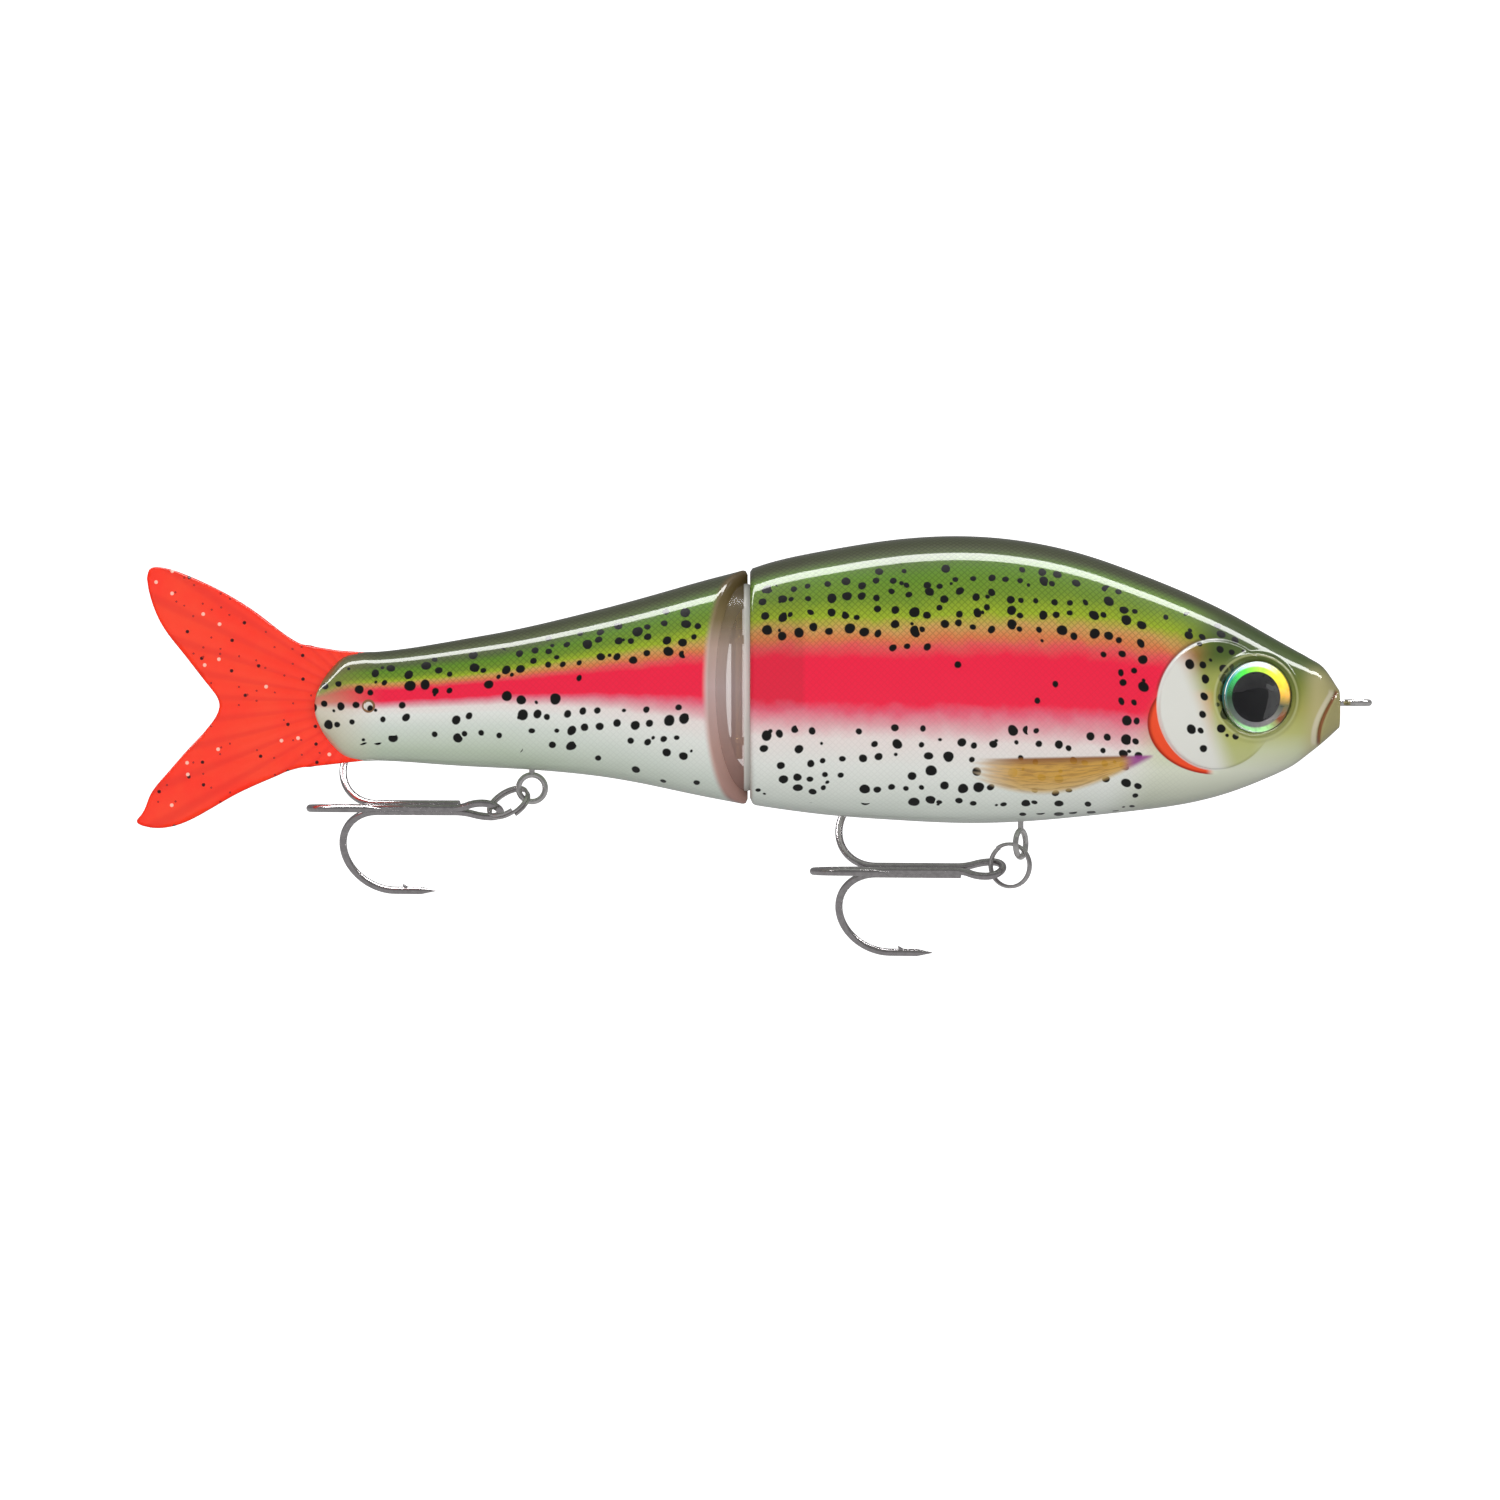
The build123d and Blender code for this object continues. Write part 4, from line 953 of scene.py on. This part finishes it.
def iris_foil():
    """Holographic foil round a black pupil: two rings whose colour changes round the eye, partly the foil's own
    pattern and partly its shifting sheen painted in, with a faint painted glow.
    """
    n = Nodes("iris_foil")
    _, x, _, z = n.place()
    dx = n.math("DIVIDE", n.minus(x, EYE.x), MM * math.cos(EYE_TILT))
    dz = n.math("DIVIDE", n.minus(z, EYE.z), MM)
    radius = n.math("SQRT", n.plus(n.times(dx, dx), n.times(dz, dz)))
    turn = n.plus(0.5, n.math("DIVIDE", n.math("ARCTAN2", dz, dx), 2 * math.pi))
    # The rings' colours round the eye: partly the foil's own pattern, partly its holographic sheen painted in as
    # fixed colour.
    outer = n.ramp(
        turn,
        [
            (0.0, linear(64, 120, 118)),
            (0.08, linear(92, 98, 74)),
            (0.2, linear(150, 214, 150)),
            (0.3, linear(166, 226, 150)),
            (0.38, linear(134, 66, 40)),
            (0.46, linear(84, 84, 40)),
            (0.52, linear(248, 184, 60)),
            (0.62, linear(238, 236, 70)),
            (0.70, linear(240, 250, 236)),
            (0.80, linear(210, 244, 240)),
            (0.90, linear(60, 160, 170)),
            (1.0, linear(64, 120, 118)),
        ],
    )
    inner = n.ramp(
        turn,
        [
            (0.0, linear(44, 74, 50)),
            (0.2, linear(104, 104, 108)),
            (0.33, linear(120, 116, 116)),
            (0.45, linear(52, 60, 38)),
            (0.54, linear(255, 196, 44)),
            (0.63, linear(226, 232, 56)),
            (0.72, linear(190, 238, 70)),
            (0.82, linear(76, 232, 66)),
            (0.9, linear(50, 170, 90)),
            (1.0, linear(44, 74, 50)),
        ],
    )
    colour = n.mix(n.smooth(radius, *INNER_RING), inner, outer)
    streak = n.noise(n.add("ShaderNodeTexCoord").outputs["Object"], 2600.0, 2.0)
    colour = n.mix(n.smooth(streak, 0.45, 0.7, 0.0, 0.2), colour, linear(40, 70, 40))
    colour = n.mix(n.smooth(radius, *DARK_RIM), colour, linear(46, 48, 26))
    colour = n.mix(n.smooth(radius, *PUPIL), colour, (0.002, 0.002, 0.003, 1.0))
    n.link(colour, n.shader.inputs["Base Color"])
    # Painted light: the foil glows faintly in its own colours under the lens.
    n.link(colour, n.shader.inputs["Emission Color"])
    n.shader.inputs["Emission Strength"].default_value = 0.35
    n.shader.inputs["Specular IOR Level"].default_value = 0.1
    n.set(roughness=0.45)
    return n.material


def lens_material():
    n = Nodes("clear_lens")
    n.shader.inputs["Base Color"].default_value = (1, 1, 1, 1)
    n.shader.inputs["Transmission Weight"].default_value = 1.0
    n.shader.inputs["IOR"].default_value = 1.28
    n.set(roughness=0.0)
    return n.material


def turned_piece(name, side, profile, material):
    """A round piece about the eye's own axis, from a list of radius and rise in millimetres."""
    word = "right" if side < 0 else "left"
    away = eye_normal(side)
    up = Vector((0, 0, 1))
    over = up.cross(away)
    low, high = (Vector(corner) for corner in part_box(f"{word}_eye_disc"))
    columns = 96
    points = []
    for r, rise in profile:
        for j in range(columns):
            a = 2 * math.pi * j / columns
            spread = (over * math.cos(a) + up * math.sin(a)) * r
            points.append((low + high) / 2 + (spread + away * (rise + 0.25)) * MM)
    piece = mesh_object(f"{word}_{name}", points, grid_faces(len(profile), columns), material)
    turn_outward(piece)
    return piece


def eye_foil(side, material):
    """The foil: a shallow dish whose rim lifts towards the lens's edge."""
    rim = EYE_RADIUS / MM
    profile = [(0.02, 0.45)] + [(rim * k / 10, 0.45 + 0.4 * (k / 10) ** 3) for k in range(1, 11)]
    profile += [(rim, -0.05), (rim * 0.5, -0.05), (0.02, -0.05)]
    return turned_piece("eye_foil", side, [(r * 0.985, rise) for r, rise in profile], material)


def eye_dome(side, material):
    """The clear lens over it: a smooth dome that comes down to the foil's rim."""
    rim = EYE_RADIUS / MM
    steps = 14
    profile = []
    for k in range(steps + 1):
        share = k / steps
        profile.append((max(rim * share, 0.02), 0.92 + 0.86 * math.sqrt(max(0.0, 1 - share**2.2))))
    profile += [(rim * 0.99, 0.88)]
    profile += [(rim * k / 10, 0.48 + 0.4 * (k / 10) ** 3) for k in range(9, 0, -1)]
    profile += [(0.02, 0.48)]
    return turned_piece("lens_dome", side, [(r * 0.995, rise) for r, rise in profile], material)


# ---------------------------------------------------------------- metals and other CAD nodes
WEAR_SCALE, WEAR_ROUGHNESS = 1500.0, 0.08


def metal(name, colour, roughness):
    n = Nodes(name)
    vector = n.place()[0]
    cloud = n.noise(vector, WEAR_SCALE, 4.0)
    darker = (*[c * 0.82 for c in colour[:3]], 1.0)
    n.link(n.mix(n.smooth(cloud, 0.35, 0.7), colour, darker), n.shader.inputs["Base Color"])
    n.link(n.smooth(cloud, 0.3, 0.75, roughness, roughness + WEAR_ROUGHNESS), n.shader.inputs["Roughness"])
    n.set(metallic=1.0)
    n.bump(n.noise(vector, WEAR_SCALE * 3, 2.0), 0.06, 0.00002)
    return n.material


def dress(material, *nodes):
    for node in nodes:
        mesh = bpy.data.objects[node].data
        mesh.polygons.foreach_set("use_smooth", [True] * len(mesh.polygons))
        for slot in bpy.data.objects[node].material_slots:
            slot.material = material
        if not bpy.data.objects[node].material_slots:
            mesh.materials.append(material)


paint = body_paint()
front = front_skin(paint)
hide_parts("front_shell_right", "front_shell_left")
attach(front, "front_section")
rear = rear_skin(paint)
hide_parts("rear_shell_right", "rear_shell_left")
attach(rear, "rear_section")
clear = knuckle(smoky_plastic())
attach(clear, "rear_section")

tail = soft_tail(tail_material())
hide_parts("tail_root", "tail_fin")
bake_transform(tail)

foil, lens = iris_foil(), lens_material()
for eye_side, eye_word in ((-1, "right"), (1, "left")):
    iris = eye_foil(eye_side, foil)
    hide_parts(f"{eye_word}_eye_disc")
    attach(iris, "front_section")
    dome = eye_dome(eye_side, lens)
    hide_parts(f"{eye_word}_eye_lens")
    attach(dome, "front_section")

bright_wire = metal("bright_wire", (0.86, 0.84, 0.83, 1.0), 0.2)
dress(bright_wire, "line_tie", "front_hook_hanger", "rear_hook_hanger")
dress(metal("split_ring_wire", (0.74, 0.71, 0.71, 1.0), 0.18), "front_split_ring", "rear_split_ring")
brass = metal("screw_eye_brass", (0.92, 0.62, 0.26, 1.0), 0.25)
dress(brass, "upper_hinge_eye", "lower_hinge_eye", "hinge_pin")
hook_metal = metal("black_nickel", (0.58, 0.55, 0.56, 1.0), 0.16)
for end in ("front", "rear"):
    dress(hook_metal, f"{end}_treble_double_hook", f"{end}_treble_third_hook")
dress(metal("solder", (0.45, 0.42, 0.42, 1.0), 0.35), "front_treble_braze", "rear_treble_braze")
ballast = metal("ballast_steel", (0.5, 0.5, 0.5, 1.0), 0.4)
dress(ballast, "front_keel_weight", "middle_keel_weight", "rear_keel_weight")
pin = Nodes("lock_pin_white")
pin_tone = pin.noise(pin.place()[0], 2500.0, 3.0)
pin.link(pin.mix(pin_tone, linear(226, 222, 210), linear(245, 242, 236)), pin.shader.inputs["Base Color"])
pin.set(roughness=0.4)
dress(pin.material, "tail_lock_pin")

# ---------------------------------------------------------------- studio
scene = bpy.context.scene
scene.view_settings.view_transform = "Standard"
scene.view_settings.look = "None"

backdrop_nodes = Nodes("backdrop")
backdrop_nodes.shader.inputs["Base Color"].default_value = (0.9, 0.9, 0.9, 1)
backdrop_nodes.shader.inputs["Roughness"].default_value = 0.9
backdrop_nodes.shader.inputs["Emission Color"].default_value = (1, 1, 1, 1)
backdrop_nodes.shader.inputs["Emission Strength"].default_value = 1.0
FLOOR_Z, FLOOR_BACK, SWEEP_RADIUS, SWEEP_STEPS = -0.16, 0.9, 0.5, 12
profile = [(-2.5, FLOOR_Z), (FLOOR_BACK, FLOOR_Z)]
for k in range(1, SWEEP_STEPS + 1):
    a = math.pi / 2 * k / SWEEP_STEPS
    profile.append((FLOOR_BACK + SWEEP_RADIUS * math.sin(a), FLOOR_Z + SWEEP_RADIUS * (1 - math.cos(a))))
profile.append((FLOOR_BACK + SWEEP_RADIUS, 2.4))
sweep_points = [(x, y, z) for y, z in profile for x in (-2.6, 2.4)]
sweep_faces = [(2 * i, 2 * i + 1, 2 * i + 3, 2 * i + 2) for i in range(len(profile) - 1)]
cyclorama = mesh_object("cyclorama", sweep_points, sweep_faces, backdrop_nodes.material)
cyclorama.visible_glossy = False
cyclorama.visible_diffuse = False

WORLD_BELOW, WORLD_ABOVE = 0.38, 0.22  # strength of the light from below and above the horizon


def studio_world():
    """Soft light from all round, brighter below the horizon, so that gloss stays clear on the upper flank."""
    world = bpy.data.worlds.new("studio")
    world.use_nodes = True
    tree = world.node_tree
    background = tree.nodes["Background"]
    place = tree.nodes.new("ShaderNodeTexCoord")
    split = tree.nodes.new("ShaderNodeSeparateXYZ")
    blend = tree.nodes.new("ShaderNodeMapRange")
    blend.interpolation_type = "SMOOTHSTEP"
    for socket, value in zip(blend.inputs[1:5], (-0.12, 0.1, WORLD_BELOW, WORLD_ABOVE)):
        socket.default_value = value
    tree.links.new(place.outputs["Generated"], split.inputs[0])
    tree.links.new(split.outputs[2], blend.inputs[0])
    tree.links.new(blend.outputs[0], background.inputs[1])
    background.inputs[0].default_value = (1, 1, 1, 1)
    return world


scene.world = studio_world()


def area_light(name, place, size_x, size_y, power, shine):
    """A soft light aimed at the lure, which either shades it or only shows as a gloss on it."""
    light = bpy.data.lights.new(name, "AREA")
    light.shape = "RECTANGLE"
    light.size, light.size_y = size_x, size_y
    light.energy = power
    lamp = bpy.data.objects.new(name, light)
    lamp.location = place
    lamp.rotation_euler = (MIDDLE - Vector(place)).to_track_quat("-Z", "Y").to_euler()
    lamp.visible_camera = False
    lamp.visible_glossy = shine
    lamp.visible_diffuse = not shine
    scene.collection.objects.link(lamp)


MIDDLE = Vector((-0.0809, 0.0, -0.0063))  # of the view
FILL_POWER = 8.8
area_light("back_gloss", (MIDDLE.x, -0.05, 0.5), 1.6, 0.12, 13.0, True)
area_light("overhead", (MIDDLE.x, 0.0, 0.9), 1.0, 0.6, 1.6, False)
for fill_name, fill_y in (("right_fill", -1.1), ("left_fill", 1.1)):
    area_light(fill_name, (MIDDLE.x, fill_y, 0.1), 1.2, 0.8, FILL_POWER, False)

LENS, SENSOR = 135, 36  # millimetres
VIEW_WIDTH = 0.1998
camera_data = bpy.data.cameras.new("camera")
camera_data.lens = LENS
camera_data.sensor_width = SENSOR
camera = bpy.data.objects.new("camera", camera_data)
distance = VIEW_WIDTH * LENS / SENSOR
camera.location = (MIDDLE.x, -distance, MIDDLE.z)
camera.rotation_euler = (math.pi / 2, 0, 0)
scene.collection.objects.link(camera)
scene.camera = camera
